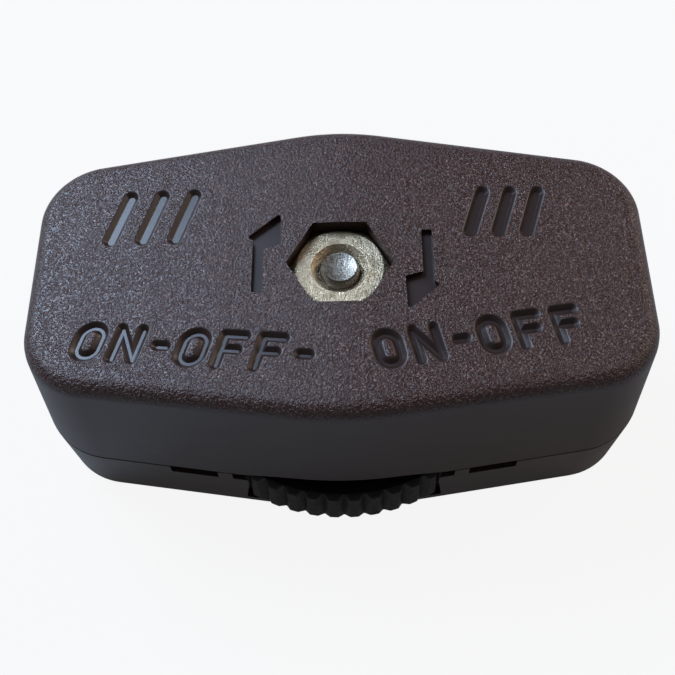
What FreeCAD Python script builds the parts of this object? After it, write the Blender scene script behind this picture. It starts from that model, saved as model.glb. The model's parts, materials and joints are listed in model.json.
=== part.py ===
import FreeCAD, Part
import math
import os
import re
import Sketcher
from FreeCAD import Vector

# A feed-through switch for flat lamp cord: two moulded shells clamped by one screw and a hex nut.
# The wheel in the lower shell carries a brass bridge, which joins the two fixed contacts at every
# half turn. The origin is where the screw's axis meets the flat base, X runs along the cord,
# Y towards the far long side and Z up, out of the nut.

# Driving sizes in millimetres and degrees: name, value and what it measures
SIZES = {
    "end_length": (11.05, "wheel well to each end of the case, at the parting line"),
    "wheel_reach": (0.75, "wheel standing out past the sharp corner of the long sides"),
    "end_width": (23.4, "width where the long sides would meet the ends"),
    "case_height": (21.0, "base to the ridge of the roof"),
    "parting_level": (7.7, "base to the plane where the shells meet"),
    "roof_drop": (1.0, "fall of the roof from its ridge to each end"),
    "draft_angle": (3.5, "lean of every outer wall away from the parting plane"),
    "corner_radius": (6.9, "rounding of the four upright corners"),
    "waist_radius": (28.0, "rounding where the long sides change direction"),
    "ridge_radius": (60.0, "rounding along the roof's ridge"),
    "roof_fillet": (1.45, "rounding round the roof"),
    "base_bevel": (0.4, "bevel round the base"),
    "seam_chamfer": (0.15, "bevel of both shells at the parting plane"),
    "wall": (2.2, "wall of the upper shell"),
    "roof_thickness": (2.2, "roof of the upper shell at its ends"),
    "floor_thickness": (1.2, "floor of the lower shell under the wheel"),
    "screw_diameter": (3.5, "thread of the clamp screw"),
    "screw_gap": (0.2, "room round the screw in the shells"),
    "thread_gap": (0.03, "room between the screw and the nut"),
    "head_diameter": (6.8, "head of the clamp screw"),
    "head_height": (2.1, "height of the screw's head"),
    "head_sink": (0.25, "how far the screw's head lies above the base"),
    "head_gap": (0.35, "room round the screw's head"),
    "slot_width": (0.9, "width of the screw's slot"),
    "slot_depth": (1.0, "depth of the screw's slot"),
    "tip_rise": (0.15, "screw standing out of the nut"),
    "tip_chamfer": (0.25, "bevel at the screw's tip"),
    "nut_flats": (7.94, "hex nut across its flats"),
    "nut_thickness": (2.78, "thickness of the hex nut"),
    "nut_sink": (1.1, "ridge of the roof down to the nut's top"),
    "nut_gap": (0.12, "room between each flat of the nut and its recess"),
    "nut_countersink": (0.75, "bevel at the mouth of the nut's thread"),
    "land_thickness": (3.7, "plastic that the nut clamps"),
    "nut_boss_wall": (1.9, "plastic round the corners of the nut recess"),
    "boss_overlap": (1.4, "boss of the upper shell reaching out over the wheel's hub"),
    "post_wall": (1.05, "plastic of the lower shell's post round the screw's head"),
    "running_gap": (0.05, "radial room between the post and the wheel"),
    "wheel_radius": (16.7, "thumbwheel over its rim"),
    "wheel_cover": (0.8, "parting plane down to the top of the wheel's rim"),
    "wheel_lift": (0.3, "room under the wheel's rim"),
    "well_gap": (0.25, "room round the wheel's rim"),
    "rim_width": (2.5, "width of the wheel's rim"),
    "rim_chamfer": (0.5, "bevel of the rim's edges"),
    "web_recess": (1.5, "top of the rim down to the web"),
    "hub_wall": (1.9, "wall of the wheel's hub round its bore"),
    "thrust_gap": (0.2, "room between the hub and the upper shell's boss"),
    "spring_room": (1.5, "floor up to the underside of the hub"),
    "serration_count": (54, "grooves round the rim"),
    "serration_width": (1.15, "width of each groove at the rim"),
    "serration_depth": (0.5, "depth of each groove"),
    "window_spare": (0.35, "mouth of the wheel well to each end of the window"),
    "window_sill": (3.0, "base to the sill at each end of the window"),
    "step_spread": (1.7, "mouth of the wheel well to each end of the window's wide top"),
    "step_depth": (1.3, "depth of the window's wide top in the lower shell"),
    "arch_rise": (1.0, "height of the window's arch in the upper shell"),
    "notch_spacing": (1.35, "wide top of the window to the notch beside it"),
    "notch_length": (4.4, "length of the notches for prying the shells apart"),
    "notch_height": (1.4, "height of a notch under the parting plane"),
    "notch_depth": (1.1, "depth of a notch in the side wall"),
    "leaf_room": (1.9, "floor up to the cam ring"),
    "cam_hub_gap": (1.15, "hub of the wheel to the cam ring under its web"),
    "cam_width": (3.2, "width of the cam ring"),
    "cam_height": (0.6, "cam ring standing out of the web"),
    "cam_notch_length": (3.0, "length of each ramp in the cam ring"),
    "cam_notch_count": (4, "clicks in one turn"),
    "leaf_thickness": (0.3, "spring leaf that clicks in the cam"),
    "leaf_width": (3.0, "width of the spring leaf"),
    "leaf_gap": (0.1, "room between the leaf's crest and the cam ring"),
    "leaf_foot": (3.9, "length of the leaf's flat foot"),
    "leaf_rim_gap": (0.3, "corner of the leaf's foot to the inside of the rim"),
    "crest_offset": (5.0, "screw axis to the middle of the leaf's crest, along the leaf"),
    "leaf_crest": (1.6, "length of the leaf's crest"),
    "leaf_tail": (1.6, "length of the leaf's turned-down end"),
    "leaf_tail_drop": (0.8, "fall of the leaf's turned-down end"),
    "washer_thickness": (0.3, "sheet of the spring washer"),
    "washer_gap": (0.1, "room between the spring washer, the post and the hub"),
    "bridge_thickness": (0.5, "sheet of the bridge"),
    "bridge_gap": (0.15, "room between the bridge and the hub"),
    "bridge_ring_width": (3.1, "width of the bridge's ring round the hub"),
    "arm_width": (4.4, "width of the bridge's arms"),
    "arm_rim_gap": (0.3, "end of an arm to the inside of the rim"),
    "button_radius": (1.4, "head of a contact button"),
    "button_stem_radius": (0.7, "stem of a contact button"),
    "button_height": (0.5, "head of a button on the bridge"),
    "button_bevel": (0.2, "bevel of a button's face"),
    "contact_gap": (0.05, "room between the buttons, so that they pass freely"),
    "stem_gap": (0.02, "radial room round stems, pins and rivets in their holes"),
    "rivet_radius": (0.8, "shank of the bridge's rivets"),
    "rivet_head_radius": (1.35, "head of the rivets"),
    "rivet_head_height": (0.45, "height of a rivet's head"),
    "strip_thickness": (0.5, "sheet of the fixed contacts"),
    "strip_width": (6.8, "width of a fixed contact's plate"),
    "strip_gap": (0.35, "wheel well to the plate of a fixed contact"),
    "strip_margin": (1.0, "plate of a fixed contact to the end wall"),
    "seat_gap": (0.1, "room round the plate in its seat"),
    "finger_width": (2.6, "width of a contact's spring finger"),
    "finger_end": (1.6, "button to the end of the finger"),
    "pin_radius": (0.55, "shank of the pins that pierce the cord"),
    "pin_flange_radius": (0.95, "shoulder of a pin"),
    "pin_flange_height": (0.3, "height of a pin's shoulder"),
    "pin_height": (3.2, "pin standing over its contact"),
    "pin_point": (1.6, "length of a pin's point"),
    "pin_spacing": (3.5, "from pin to pin along the cord"),
    "conductor_offset": (1.9, "middle of the cord to the cut conductor"),
    "strip_rivet_offset": (1.4, "middle of the cord to a contact's rivet"),
    "strip_rivet_length": (3.0, "shank of a contact's rivet in the lower shell"),
    "floor_rivet_length": (0.8, "shank of the leaf's rivet in the floor"),
    "rivet_hole_spare": (0.15, "blind hole deeper than its rivet"),
    "inlet_width": (7.8, "cord inlet across the cord"),
    "inlet_height": (4.6, "cord inlet from bottom to top"),
    "inlet_rise": (1.6, "parting plane up to the middle of the inlet"),
    "rib_thickness": (1.2, "ribs beside and over the cord"),
    "rib_gap": (0.4, "insulating disc to the ends of the ribs"),
    "bar_spacing": (3.5, "from bar to bar over the cord"),
    "disc_side_gap": (0.66, "insulating disc to the side walls"),
    "disc_thickness": (0.5, "sheet of the insulating disc"),
    "disc_gap": (0.2, "room between the disc and the boss"),
    "disc_lift": (0.05, "fixed contacts up to the disc"),
    "pillar_radius": (2.2, "pillars in the corners of the upper shell"),
    "pillar_end_inset": (6.0, "end of the case to the middle of a pillar"),
    "pillar_side_inset": (3.5, "sharp end corner to the middle of a pillar, across"),
    "peg_radius": (1.2, "locating pegs under two of the pillars"),
    "peg_length": (1.8, "pegs standing out of the upper shell"),
    "peg_gap": (0.1, "room round and under a peg"),
    "core_floor": (2.3, "plastic under the blind cores in the lower shell"),
    "core_length": (4.6, "length of a core"),
    "core_width": (4.0, "width of a core"),
    "arrow_reach": (7.2, "screw axis to the stem of each turn arrow"),
    "arrow_width": (0.95, "width of an arrow's stem"),
    "arrow_foot": (2.95, "screw axis to the foot of the stem, across"),
    "arrow_neck": (1.9, "screw axis to the neck of the stem, across"),
    "barb_out": (0.95, "stem to the outer barb of the head"),
    "barb_rise": (0.9, "neck to the outer barb"),
    "point_in": (1.95, "stem to the point of the head"),
    "point_rise": (3.4, "neck to the point of the head"),
    "barb_in": (2.05, "stem to the inner barb of the head"),
    "arrow_depth": (0.5, "depth of the arrows"),
    "arrow_rounding": (0.2, "rounding of the arrows' corners"),
    "right_arrow_out": (0.5, "how much further from the screw the right arrow lies"),
    "right_arrow_back": (0.35, "how far the right arrow lies towards the far side"),
}

# Places that several pieces share, as expressions on the sheet
WELL_RADIUS = "(wheel_radius + well_gap)"
END_X = f"({WELL_RADIUS} + end_length)"
MID_Y = "(wheel_radius - wheel_reach)"
END_Y = "(end_width / 2)"
SIDE_SLOPE = f"(({MID_Y} - {END_Y}) / {END_X})"
SIDE_STRETCH = f"sqrt(1 + {SIDE_SLOPE} ^ 2)"
INNER_X = f"({END_X} - wall)"
INNER_MID_Y = f"({MID_Y} - wall * {SIDE_STRETCH})"
INNER_END_Y = f"({INNER_MID_Y} - {INNER_X} * {SIDE_SLOPE})"
CEILING = "(case_height - roof_drop - roof_thickness)"
NUT_TOP = "(case_height - nut_sink)"
NUT_BOTTOM = f"({NUT_TOP} - nut_thickness)"
LAND_BOTTOM = f"({NUT_BOTTOM} - land_thickness)"
RECESS_FLATS = "(nut_flats + 2 * nut_gap)"
SCREW_HOLE = "(screw_diameter / 2 + screw_gap)"
HEAD_SEAT = "(head_diameter / 2 + head_gap)"
HEAD_TOP = "(head_sink + head_height)"
POST_RADIUS = f"({HEAD_SEAT} + post_wall)"
BOSS_RADIUS = f"({POST_RADIUS} + boss_overlap)"
BORE = f"({POST_RADIUS} + running_gap)"
HUB_RADIUS = f"({BORE} + hub_wall)"
RIM_INSIDE = "(wheel_radius - rim_width)"
WHEEL_BOTTOM = "(floor_thickness + wheel_lift)"
WHEEL_TOP = "(parting_level - wheel_cover)"
WEB_TOP = f"({WHEEL_TOP} - web_recess)"
CAM_BOTTOM = "(floor_thickness + leaf_room)"
WEB_BOTTOM = f"({CAM_BOTTOM} + cam_height)"
HUB_BOTTOM = "(floor_thickness + spring_room)"
HUB_TOP = "(parting_level - thrust_gap)"
CAM_INSIDE = f"({HUB_RADIUS} + cam_hub_gap)"
CAM_OUTSIDE = f"({CAM_INSIDE} + cam_width)"
CAM_MIDDLE = f"({CAM_INSIDE} + cam_width / 2)"
WELL_CHORD = f"sqrt(max(0; {WELL_RADIUS} ^ 2 * (1 + {SIDE_SLOPE} ^ 2) - {MID_Y} ^ 2))"
WELL_EXIT = f"(({SIDE_SLOPE} * {MID_Y} + {WELL_CHORD}) / (1 + {SIDE_SLOPE} ^ 2))"
STEP_END = f"({WELL_EXIT} + step_spread)"
BRIDGE_TOP = f"({WEB_TOP} + bridge_thickness)"
BRIDGE_INSIDE = f"({HUB_RADIUS} + bridge_gap)"
BRIDGE_RIVET = f"({BRIDGE_INSIDE} + bridge_ring_width / 2)"
BUTTON_REACH = f"({RIM_INSIDE} - arm_rim_gap - arm_width / 2)"
STRIP_BOTTOM = "(parting_level - strip_thickness)"
STRIP_START = f"({WELL_RADIUS} + strip_gap)"
STRIP_STOP = f"({INNER_X} - strip_margin)"
STRIP_MIDDLE = f"(({STRIP_START} + {STRIP_STOP}) / 2)"
FINGER_TIP = f"({BUTTON_REACH} - finger_end)"
INLET_LEVEL = "(parting_level + inlet_rise)"
INLET_TOP = f"({INLET_LEVEL} + inlet_height / 2)"
GROOVE_START = f"({STRIP_STOP} + seat_gap)"
DISC_RADIUS = f"({INNER_MID_Y} / {SIDE_STRETCH} - disc_side_gap)"
RIB_START = f"({DISC_RADIUS} + rib_gap)"
PILLAR_X = f"({END_X} - pillar_end_inset)"
PILLAR_Y = f"({END_Y} - pillar_side_inset)"
LEAF_RISE = f"({CAM_BOTTOM} - leaf_gap - floor_thickness)"
LEAF_END = f"sqrt(({RIM_INSIDE} - leaf_rim_gap) ^ 2 - ({CAM_MIDDLE} + leaf_width / 2) ^ 2)"
LEAF_RIVET = f"({LEAF_END} - leaf_foot / 2)"

# Overshoot of a cut beyond the face that it opens
CLEAR = 5.0

doc = FreeCAD.newDocument("cord_switch")
sheet = doc.addObject("Spreadsheet::Sheet", "dims")


def fill_sheet():
    """Writes every driving size and its meaning into the sheet."""
    for row, (name, (size, meaning)) in enumerate(SIZES.items(), 1):
        sheet.set(f"A{row}", name)
        sheet.set(f"B{row}", str(size))
        sheet.set(f"C{row}", meaning)
        sheet.setAlias(f"B{row}", name)
    doc.recompute()


def cells(text):
    """The same expression with each size's name turned into its cell."""
    return re.sub(r"[a-z_]+", lambda word: f"dims.{word[0]}" if word[0] in SIZES else word[0], text)


def number(text):
    """The value that an expression has now."""
    found = sheet.evalExpression(cells(text))
    return float(getattr(found, "Value", found))


def bind(thing, path, text):
    thing.setExpression(path, cells(text))


# Sketches

def new_body(label):
    body = doc.addObject("PartDesign::Body", label)
    body.Label = label
    return body


def origin_plane(body, role):
    return next(part for part in body.Origin.OriginFeatures if part.Role == role)


def new_sketch(body, name, plane="XY_Plane", offset="0"):
    sketch = body.newObject("Sketcher::SketchObject", f"{body.Label}_{name}")
    sketch.AttachmentSupport = [(origin_plane(body, plane), "")]
    sketch.MapMode = "FlatFace"
    bind(sketch, "AttachmentOffset.Base.z", offset)
    return sketch


def hold(sketch, kind, geometry, point, text):
    """Ties one coordinate of a point, measured from the sketch's origin, to an expression."""
    index = sketch.addConstraint(Sketcher.Constraint(kind, -1, 1, geometry, point, number(text)))
    bind(sketch, f"Constraints[{index}]", text)


def add_polygon(sketch, corners):
    """Closed outline through corners that are pairs of expressions."""
    places = [Vector(number(x), number(y), 0) for x, y in corners]
    first = sketch.GeometryCount
    for start, end in zip(places, places[1:] + places[:1]):
        sketch.addGeometry(Part.LineSegment(start, end))
    for index in range(len(corners)):
        follower = first + (index + 1) % len(corners)
        sketch.addConstraint(Sketcher.Constraint("Coincident", first + index, 2, follower, 1))
    for index, (x, y) in enumerate(corners):
        hold(sketch, "DistanceX", first + index, 1, x)
        hold(sketch, "DistanceY", first + index, 1, y)


def add_rectangle(sketch, low_x, high_x, low_y, high_y):
    add_polygon(sketch, [(low_x, low_y), (high_x, low_y), (high_x, high_y), (low_x, high_y)])


def add_circle(sketch, x, y, radius):
    index = sketch.addGeometry(Part.Circle(Vector(number(x), number(y), 0), Vector(0, 0, 1), number(radius)))
    hold(sketch, "DistanceX", index, 3, x)
    hold(sketch, "DistanceY", index, 3, y)
    size = sketch.addConstraint(Sketcher.Constraint("Radius", index, number(radius)))
    bind(sketch, f"Constraints[{size}]", radius)


def add_slot(sketch, y, half_straight, radius):
    """Slot with round ends, lying along the sketch's first axis and centred on its second."""
    level, reach, bend = number(y), number(half_straight), number(radius)
    ends = [Vector(reach, level, 0), Vector(-reach, level, 0)]
    circles = [Part.Circle(end, Vector(0, 0, 1), bend) for end in ends]
    first = sketch.GeometryCount
    up = Vector(0, bend, 0)
    sketch.addGeometry(Part.LineSegment(ends[1] - up, ends[0] - up))
    sketch.addGeometry(Part.ArcOfCircle(circles[0], -math.pi / 2, math.pi / 2))
    sketch.addGeometry(Part.LineSegment(ends[0] + up, ends[1] + up))
    sketch.addGeometry(Part.ArcOfCircle(circles[1], math.pi / 2, math.pi * 1.5))
    for index in range(4):
        sketch.addConstraint(Sketcher.Constraint("Tangent", first + index, 2, first + (index + 1) % 4, 1))
    sketch.addConstraint(Sketcher.Constraint("Equal", first + 1, first + 3))
    for index, x in ((first + 1, half_straight), (first + 3, f"-{half_straight}")):
        hold(sketch, "DistanceX", index, 3, x)
        hold(sketch, "DistanceY", index, 3, y)
    size = sketch.addConstraint(Sketcher.Constraint("Radius", first + 1, bend))
    bind(sketch, f"Constraints[{size}]", radius)


# Features

def extrude(kind, sketch, length, reverse, both_ways):
    body = sketch.getParentGeoFeatureGroup()
    feature = body.newObject(f"PartDesign::{kind}", f"{sketch.Name}_{kind.lower()}")
    feature.Profile = sketch
    feature.Reversed = reverse
    bind(feature, "Length", length)
    if both_ways:
        feature.SideType = "Symmetric"
    sketch.Visibility = False
    doc.recompute()
    return feature


def pad(sketch, length, reverse=False, both_ways=False):
    return extrude("Pad", sketch, length, reverse, both_ways)


def pocket(sketch, length, reverse=False, both_ways=False):
    return extrude("Pocket", sketch, length, reverse, both_ways)


def turn(kind, sketch):
    """Revolution or groove of a sketch round its own upright axis."""
    body = sketch.getParentGeoFeatureGroup()
    feature = body.newObject(f"PartDesign::{kind}", f"{sketch.Name}_{kind.lower()}")
    feature.Profile = sketch
    feature.ReferenceAxis = (sketch, ["V_Axis"])
    doc.recompute()
    return feature


def repeat_round(feature, count):
    """Copies of a feature spaced evenly round the screw's axis."""
    body = feature.getParentGeoFeatureGroup()
    pattern = body.newObject("PartDesign::PolarPattern", f"{feature.Name}_round")
    pattern.Originals = [feature]
    pattern.Axis = (origin_plane(body, "Z_Axis"), [""])
    pattern.Angle = 360
    bind(pattern, "Occurrences", count)
    body.Tip = pattern
    doc.recompute()
    return pattern


def dress(kind, body, name, path, size, chosen):
    """Fillet or chamfer of the edges for which a test holds."""
    base = body.Tip
    names = [f"Edge{index}" for index, edge in enumerate(base.Shape.Edges, 1) if chosen(edge)]
    feature = body.newObject(f"PartDesign::{kind}", f"{body.Label}_{name}")
    feature.Base = (base, names)
    bind(feature, path, size)
    doc.recompute()
    return feature


def fillet(body, name, radius, chosen):
    return dress("Fillet", body, name, "Radius", radius, chosen)


def chamfer(body, name, size, chosen):
    return dress("Chamfer", body, name, "Size", size, chosen)


def lean(body, name, chosen, reverse):
    """Leans the walls for which a test holds, away from the outline that they have at the parting plane."""
    base = body.Tip
    level = number("parting_level")
    faces = list(enumerate(base.Shape.Faces, 1))
    neutral = next(f"Face{index}" for index, face in faces if lies_at(face, level))
    feature = body.newObject("PartDesign::Draft", f"{body.Label}_{name}")
    feature.Base = (base, [f"Face{index}" for index, face in faces if chosen(face)])
    feature.NeutralPlane = (base, [neutral])
    feature.Reversed = reverse
    bind(feature, "Angle", "draft_angle")
    doc.recompute()
    return feature


def faces_out(face):
    """True for an upright wall that looks away from the middle of the case."""
    low_u, high_u, low_v, high_v = face.ParameterRange
    normal = face.normalAt((low_u + high_u) / 2, (low_v + high_v) / 2)
    return abs(normal.z) < 0.001 and normal.x * face.CenterOfMass.x + normal.y * face.CenterOfMass.y > 0


def faces_in(face):
    """True for any other wall that is higher than the case's wall is thick."""
    return not faces_out(face) and face.BoundBox.ZLength > number("wall")


def is_upright(edge):
    """True for an edge that climbs through most of its own length."""
    rise = abs(edge.Vertexes[0].Z - edge.Vertexes[-1].Z)
    return rise > 0.9 * edge.Length


def lies_at(edge, level, slack=0.01):
    box = edge.BoundBox
    return abs(box.ZMin - level) < slack and abs(box.ZMax - level) < slack


def stand(body, x, y, z):
    """Puts a finished body at a place given as expressions."""
    for axis, text in (("x", x), ("y", y), ("z", z)):
        bind(body, f"Placement.Base.{axis}", text)


def turned_piece(label, profile, x="0", y="0", z="0"):
    """Lathe-turned piece whose profile is radius and height pairs."""
    body = new_body(label)
    sketch = new_sketch(body, "profile", "XZ_Plane")
    add_polygon(sketch, profile)
    turn("Revolution", sketch)
    stand(body, x, y, z)
    return body


# The two shells

def shell_blank(label, height, downwards):
    """Six-sided block that starts at the parting plane."""
    body = new_body(label)
    plan = new_sketch(body, "plan", offset="parting_level")
    add_six_sides(plan, END_X, MID_Y, END_Y)
    pad(plan, height, reverse=downwards)
    return body


def add_six_sides(sketch, end_x, mid_y, end_y):
    """Outline that is widest in its middle and narrows in a straight line to both ends."""
    add_polygon(sketch, [
        (f"-{end_x}", f"-{end_y}"), ("0", f"-{mid_y}"), (end_x, f"-{end_y}"),
        (end_x, end_y), ("0", mid_y), (f"-{end_x}", end_y)])


def shape_walls(body, downwards):
    """Rounds the upright edges of the outside and leans its walls."""
    end, middle = number(END_X), number(MID_Y)
    fillet(body, "waist", "waist_radius",
           lambda edge: is_upright(edge) and abs(abs(edge.CenterOfMass.y) - middle) < 0.001)
    fillet(body, "corners", "corner_radius",
           lambda edge: is_upright(edge) and abs(abs(edge.CenterOfMass.x) - end) < 0.001)
    lean(body, "walls", faces_out, downwards)


def cut_roof(body):
    """Slopes the roof down from a soft ridge to both ends and rounds its outline."""
    slope = new_sketch(body, "roof", "XZ_Plane")
    add_ridge(slope)
    pocket(slope, f"{MID_Y} * 4", both_ways=True)
    low_roof = number("case_height - roof_drop * 1.1")
    fillet(body, "roof_edge", "roof_fillet",
           lambda edge: edge.BoundBox.ZMin > low_roof and not crosses_roof(edge))


def add_ridge(sketch):
    """Outline of what is cut off above the roof: two slopes that are tangent to the ridge's arc."""
    past_end = f"({END_X} * 1.2)"
    low = "(case_height - roof_drop * 1.2)"
    high = f"(case_height + {CLEAR})"
    bend, top = number("ridge_radius"), number("case_height")
    lean = math.atan2(number("roof_drop"), number(END_X))
    centre = Vector(0, top - bend, 0)
    left_touch = centre + Vector(-math.sin(lean), math.cos(lean), 0) * bend
    right_touch = centre + Vector(math.sin(lean), math.cos(lean), 0) * bend
    corners = [Vector(number(f"{side} * {past_end}"), number(level), 0)
               for side, level in (("-1", low), ("1", low), ("1", high), ("-1", high))]
    circle = Part.Circle(centre, Vector(0, 0, 1), bend)
    ridge = Part.ArcOfCircle(circle, math.pi / 2 - lean, math.pi / 2 + lean)
    for piece in (Part.LineSegment(corners[0], left_touch), ridge, Part.LineSegment(right_touch, corners[1]),
                  Part.LineSegment(corners[1], corners[2]), Part.LineSegment(corners[2], corners[3]),
                  Part.LineSegment(corners[3], corners[0])):
        sketch.addGeometry(piece)
    sketch.addConstraint(Sketcher.Constraint("Tangent", 0, 2, 1, 2))
    sketch.addConstraint(Sketcher.Constraint("Tangent", 1, 1, 2, 1))
    for line, follower in ((2, 3), (3, 4), (4, 5), (5, 0)):
        sketch.addConstraint(Sketcher.Constraint("Coincident", line, 2, follower, 1))
    hold(sketch, "DistanceX", 1, 3, "0")
    hold(sketch, "DistanceY", 1, 3, "case_height - ridge_radius")
    size = sketch.addConstraint(Sketcher.Constraint("Radius", 1, bend))
    bind(sketch, f"Constraints[{size}]", "ridge_radius")
    for line, side, level in ((0, "-1", low), (3, "1", low), (4, "1", high), (5, "-1", high)):
        hold(sketch, "DistanceX", line, 1, f"{side} * {past_end}")
        hold(sketch, "DistanceY", line, 1, level)


def crosses_roof(edge):
    """True for the straight edges beside the ridge, which run from side to side."""
    return abs(edge.CenterOfMass.x) < number(f"{END_X} / 2") and abs(edge.CenterOfMass.y) < 1


def cut_cavity(body):
    """Hollows the upper shell out from below."""
    inside = new_sketch(body, "cavity", offset="parting_level")
    add_six_sides(inside, INNER_X, INNER_MID_Y, INNER_END_Y)
    pocket(inside, f"{CEILING} - parting_level", reverse=True)
    reach = number(INNER_X)
    fillet(body, "cavity_corners", "corner_radius - wall",
           lambda edge: is_upright(edge) and abs(abs(edge.CenterOfMass.x) - reach) < 0.001)
    lean(body, "cavity_walls", faces_in, True)


def cut_arch(body):
    """Opens the long sides over the wheel in a shallow arch."""
    radius = f"(({STEP_END} ^ 2 + arch_rise ^ 2) / (2 * arch_rise))"
    arch = new_sketch(body, "arch", "XZ_Plane")
    add_circle(arch, "0", f"parting_level + arch_rise - {radius}", radius)
    pocket(arch, f"{MID_Y} * 4", both_ways=True)


def cut_inlets(body):
    """Cuts the cord's inlet through both end walls."""
    for name, side in (("left", "-1"), ("right", "1")):
        inlet = new_sketch(body, f"inlet_{name}", "YZ_Plane", f"{side} * {GROOVE_START}")
        add_slot(inlet, INLET_LEVEL, "((inlet_width - inlet_height) / 2)", "inlet_height / 2")
        pocket(inlet, f"{END_X}", reverse=side == "1")


def add_bosses(body):
    """Boss that carries the nut and bears on the lower shell's post."""
    seat = new_sketch(body, "nut_boss", offset=LAND_BOTTOM)
    add_circle(seat, "0", "0", f"{RECESS_FLATS} / sqrt(3) + nut_boss_wall")
    pad(seat, f"{CEILING} - {LAND_BOTTOM} + wall / 4")
    column = new_sketch(body, "centre_boss", offset="parting_level")
    add_circle(column, "0", "0", BOSS_RADIUS)
    pad(column, f"{LAND_BOTTOM} - parting_level")


def add_ribs(body):
    """Ribs beside the cord, bars that press it on the pins, and corner pillars with pegs."""
    into_wall = "wall / 4"
    inner_y = "(inlet_width / 2)"
    outer_y = "(inlet_width / 2 + rib_thickness)"
    ribs = new_sketch(body, "ribs", offset="parting_level")
    for side in ("-1", "1"):
        for across in ("-1", "1"):
            add_rectangle(ribs, f"{side} * {RIB_START}", f"{side} * ({INNER_X} + {into_wall})",
                          f"{across} * {inner_y}", f"{across} * {outer_y}")
    pad(ribs, f"{CEILING} - parting_level + {into_wall}")
    bars = new_sketch(body, "bars", offset=INLET_TOP)
    for side in ("-1", "1"):
        for step in ("-1", "1"):
            middle = f"({STRIP_MIDDLE} + {step} * bar_spacing / 2 - pin_spacing / 2)"
            add_rectangle(bars, f"{side} * ({middle} - rib_thickness / 2)",
                          f"{side} * ({middle} + rib_thickness / 2)", f"-{outer_y}", outer_y)
    pad(bars, f"{CEILING} - {INLET_TOP} + {into_wall}")
    pillars = new_sketch(body, "pillars", offset="parting_level")
    for side, across in (("-1", "-1"), ("1", "-1"), ("1", "1"), ("-1", "1")):
        add_circle(pillars, f"{side} * {PILLAR_X}", f"{across} * {PILLAR_Y}", "pillar_radius")
    pad(pillars, f"{CEILING} - parting_level + {into_wall}")
    pegs = new_sketch(body, "pegs", offset="parting_level")
    for side, across in (("-1", "-1"), ("1", "1")):
        add_circle(pegs, f"{side} * {PILLAR_X}", f"{across} * {PILLAR_Y}", "peg_radius")
    pad(pegs, "peg_length", reverse=True)


def cut_nut_recess(body):
    """Hex recess, with two corners in line with the cord, and the screw's hole under it."""
    hexagon = new_sketch(body, "nut_recess", offset="case_height")
    add_hexagon(hexagon, RECESS_FLATS)
    pocket(hexagon, "nut_sink + nut_thickness")
    hole = new_sketch(body, "screw_hole", offset="case_height")
    add_circle(hole, "0", "0", SCREW_HOLE)
    pocket(hole, "case_height")


def add_hexagon(sketch, flats):
    """Hexagon by its width across flats, with two corners on the first axis."""
    corner = f"({flats} / sqrt(3))"
    half = f"({flats} / 2)"
    add_polygon(sketch, [
        (corner, "0"), (f"{corner} / 2", half), (f"-{corner} / 2", half),
        (f"-{corner}", "0"), (f"-{corner} / 2", f"-{half}"), (f"{corner} / 2", f"-{half}")])


def cut_arrows(body):
    """Two sunk arrows that show which way the wheel is pushed, about half a turn apart."""
    outline = [
        ("-arrow_width / 2", "-arrow_foot"), ("arrow_width / 2", "-arrow_foot"),
        ("arrow_width / 2", "arrow_neck - arrow_width / 2"), ("barb_in", "arrow_neck"),
        ("point_in", "arrow_neck + point_rise"), ("-barb_out", "arrow_neck + barb_rise"),
        ("-arrow_width / 2", "arrow_neck + arrow_width / 2")]
    arrows = new_sketch(body, "arrows", offset="case_height")
    for half_turn, out, back in (("1", "0", "0"), ("-1", "right_arrow_out", "right_arrow_back")):
        add_polygon(arrows, [(f"{half_turn} * ({x} - arrow_reach - {out})", f"{half_turn} * ({y}) + {back}")
                             for x, y in outline])
    pocket(arrows, f"arrow_depth + roof_drop * arrow_reach / {END_X}")
    low = number("arrow_reach - point_in * 2")
    high = number("arrow_reach + max(0; right_arrow_out) + barb_out * 2")
    level = number("case_height - roof_drop - arrow_depth * 2")
    fillet(body, "arrow_corners", "arrow_rounding", lambda edge: is_upright(edge)
           and edge.BoundBox.ZMin > level and low < abs(edge.CenterOfMass.x) < high)


def bevel_seam(body):
    """Small bevel round the outline where the shells meet, but not across the window or inlets."""
    level = number("parting_level")

    def on_outline(edge):
        centre = edge.CenterOfMass
        outside = abs(centre.y) > number(f"{INNER_MID_Y} - {SIDE_SLOPE} * {abs(centre.x)} + wall / 2")
        at_end = abs(centre.x) > number(f"{INNER_X} + wall / 2")
        along = edge.BoundBox.XLength + edge.BoundBox.YLength > 2
        return lies_at(edge, level) and along and (outside or at_end)

    chamfer(body, "seam", "seam_chamfer", on_outline)


def make_upper_shell():
    body = shell_blank("upper_shell", "case_height - parting_level", False)
    cut_cavity(body)
    shape_walls(body, False)
    cut_roof(body)
    cut_arch(body)
    cut_inlets(body)
    bevel_seam(body)
    add_bosses(body)
    add_ribs(body)
    cut_nut_recess(body)
    cut_arrows(body)
    return body


def make_lower_shell():
    body = shell_blank("lower_shell", "parting_level", True)
    shape_walls(body, True)
    chamfer(body, "base_edge", "base_bevel", lambda edge: lies_at(edge, 0))
    well = new_sketch(body, "well", offset="parting_level")
    add_circle(well, "0", "0", WELL_RADIUS)
    add_circle(well, "0", "0", POST_RADIUS)
    pocket(well, "parting_level - floor_thickness")
    cut_windows(body)
    cut_inlets(body)
    bevel_seam(body)
    cut_contact_seats(body)
    cut_cores(body)
    cut_screw_seat(body)
    return body


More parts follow.
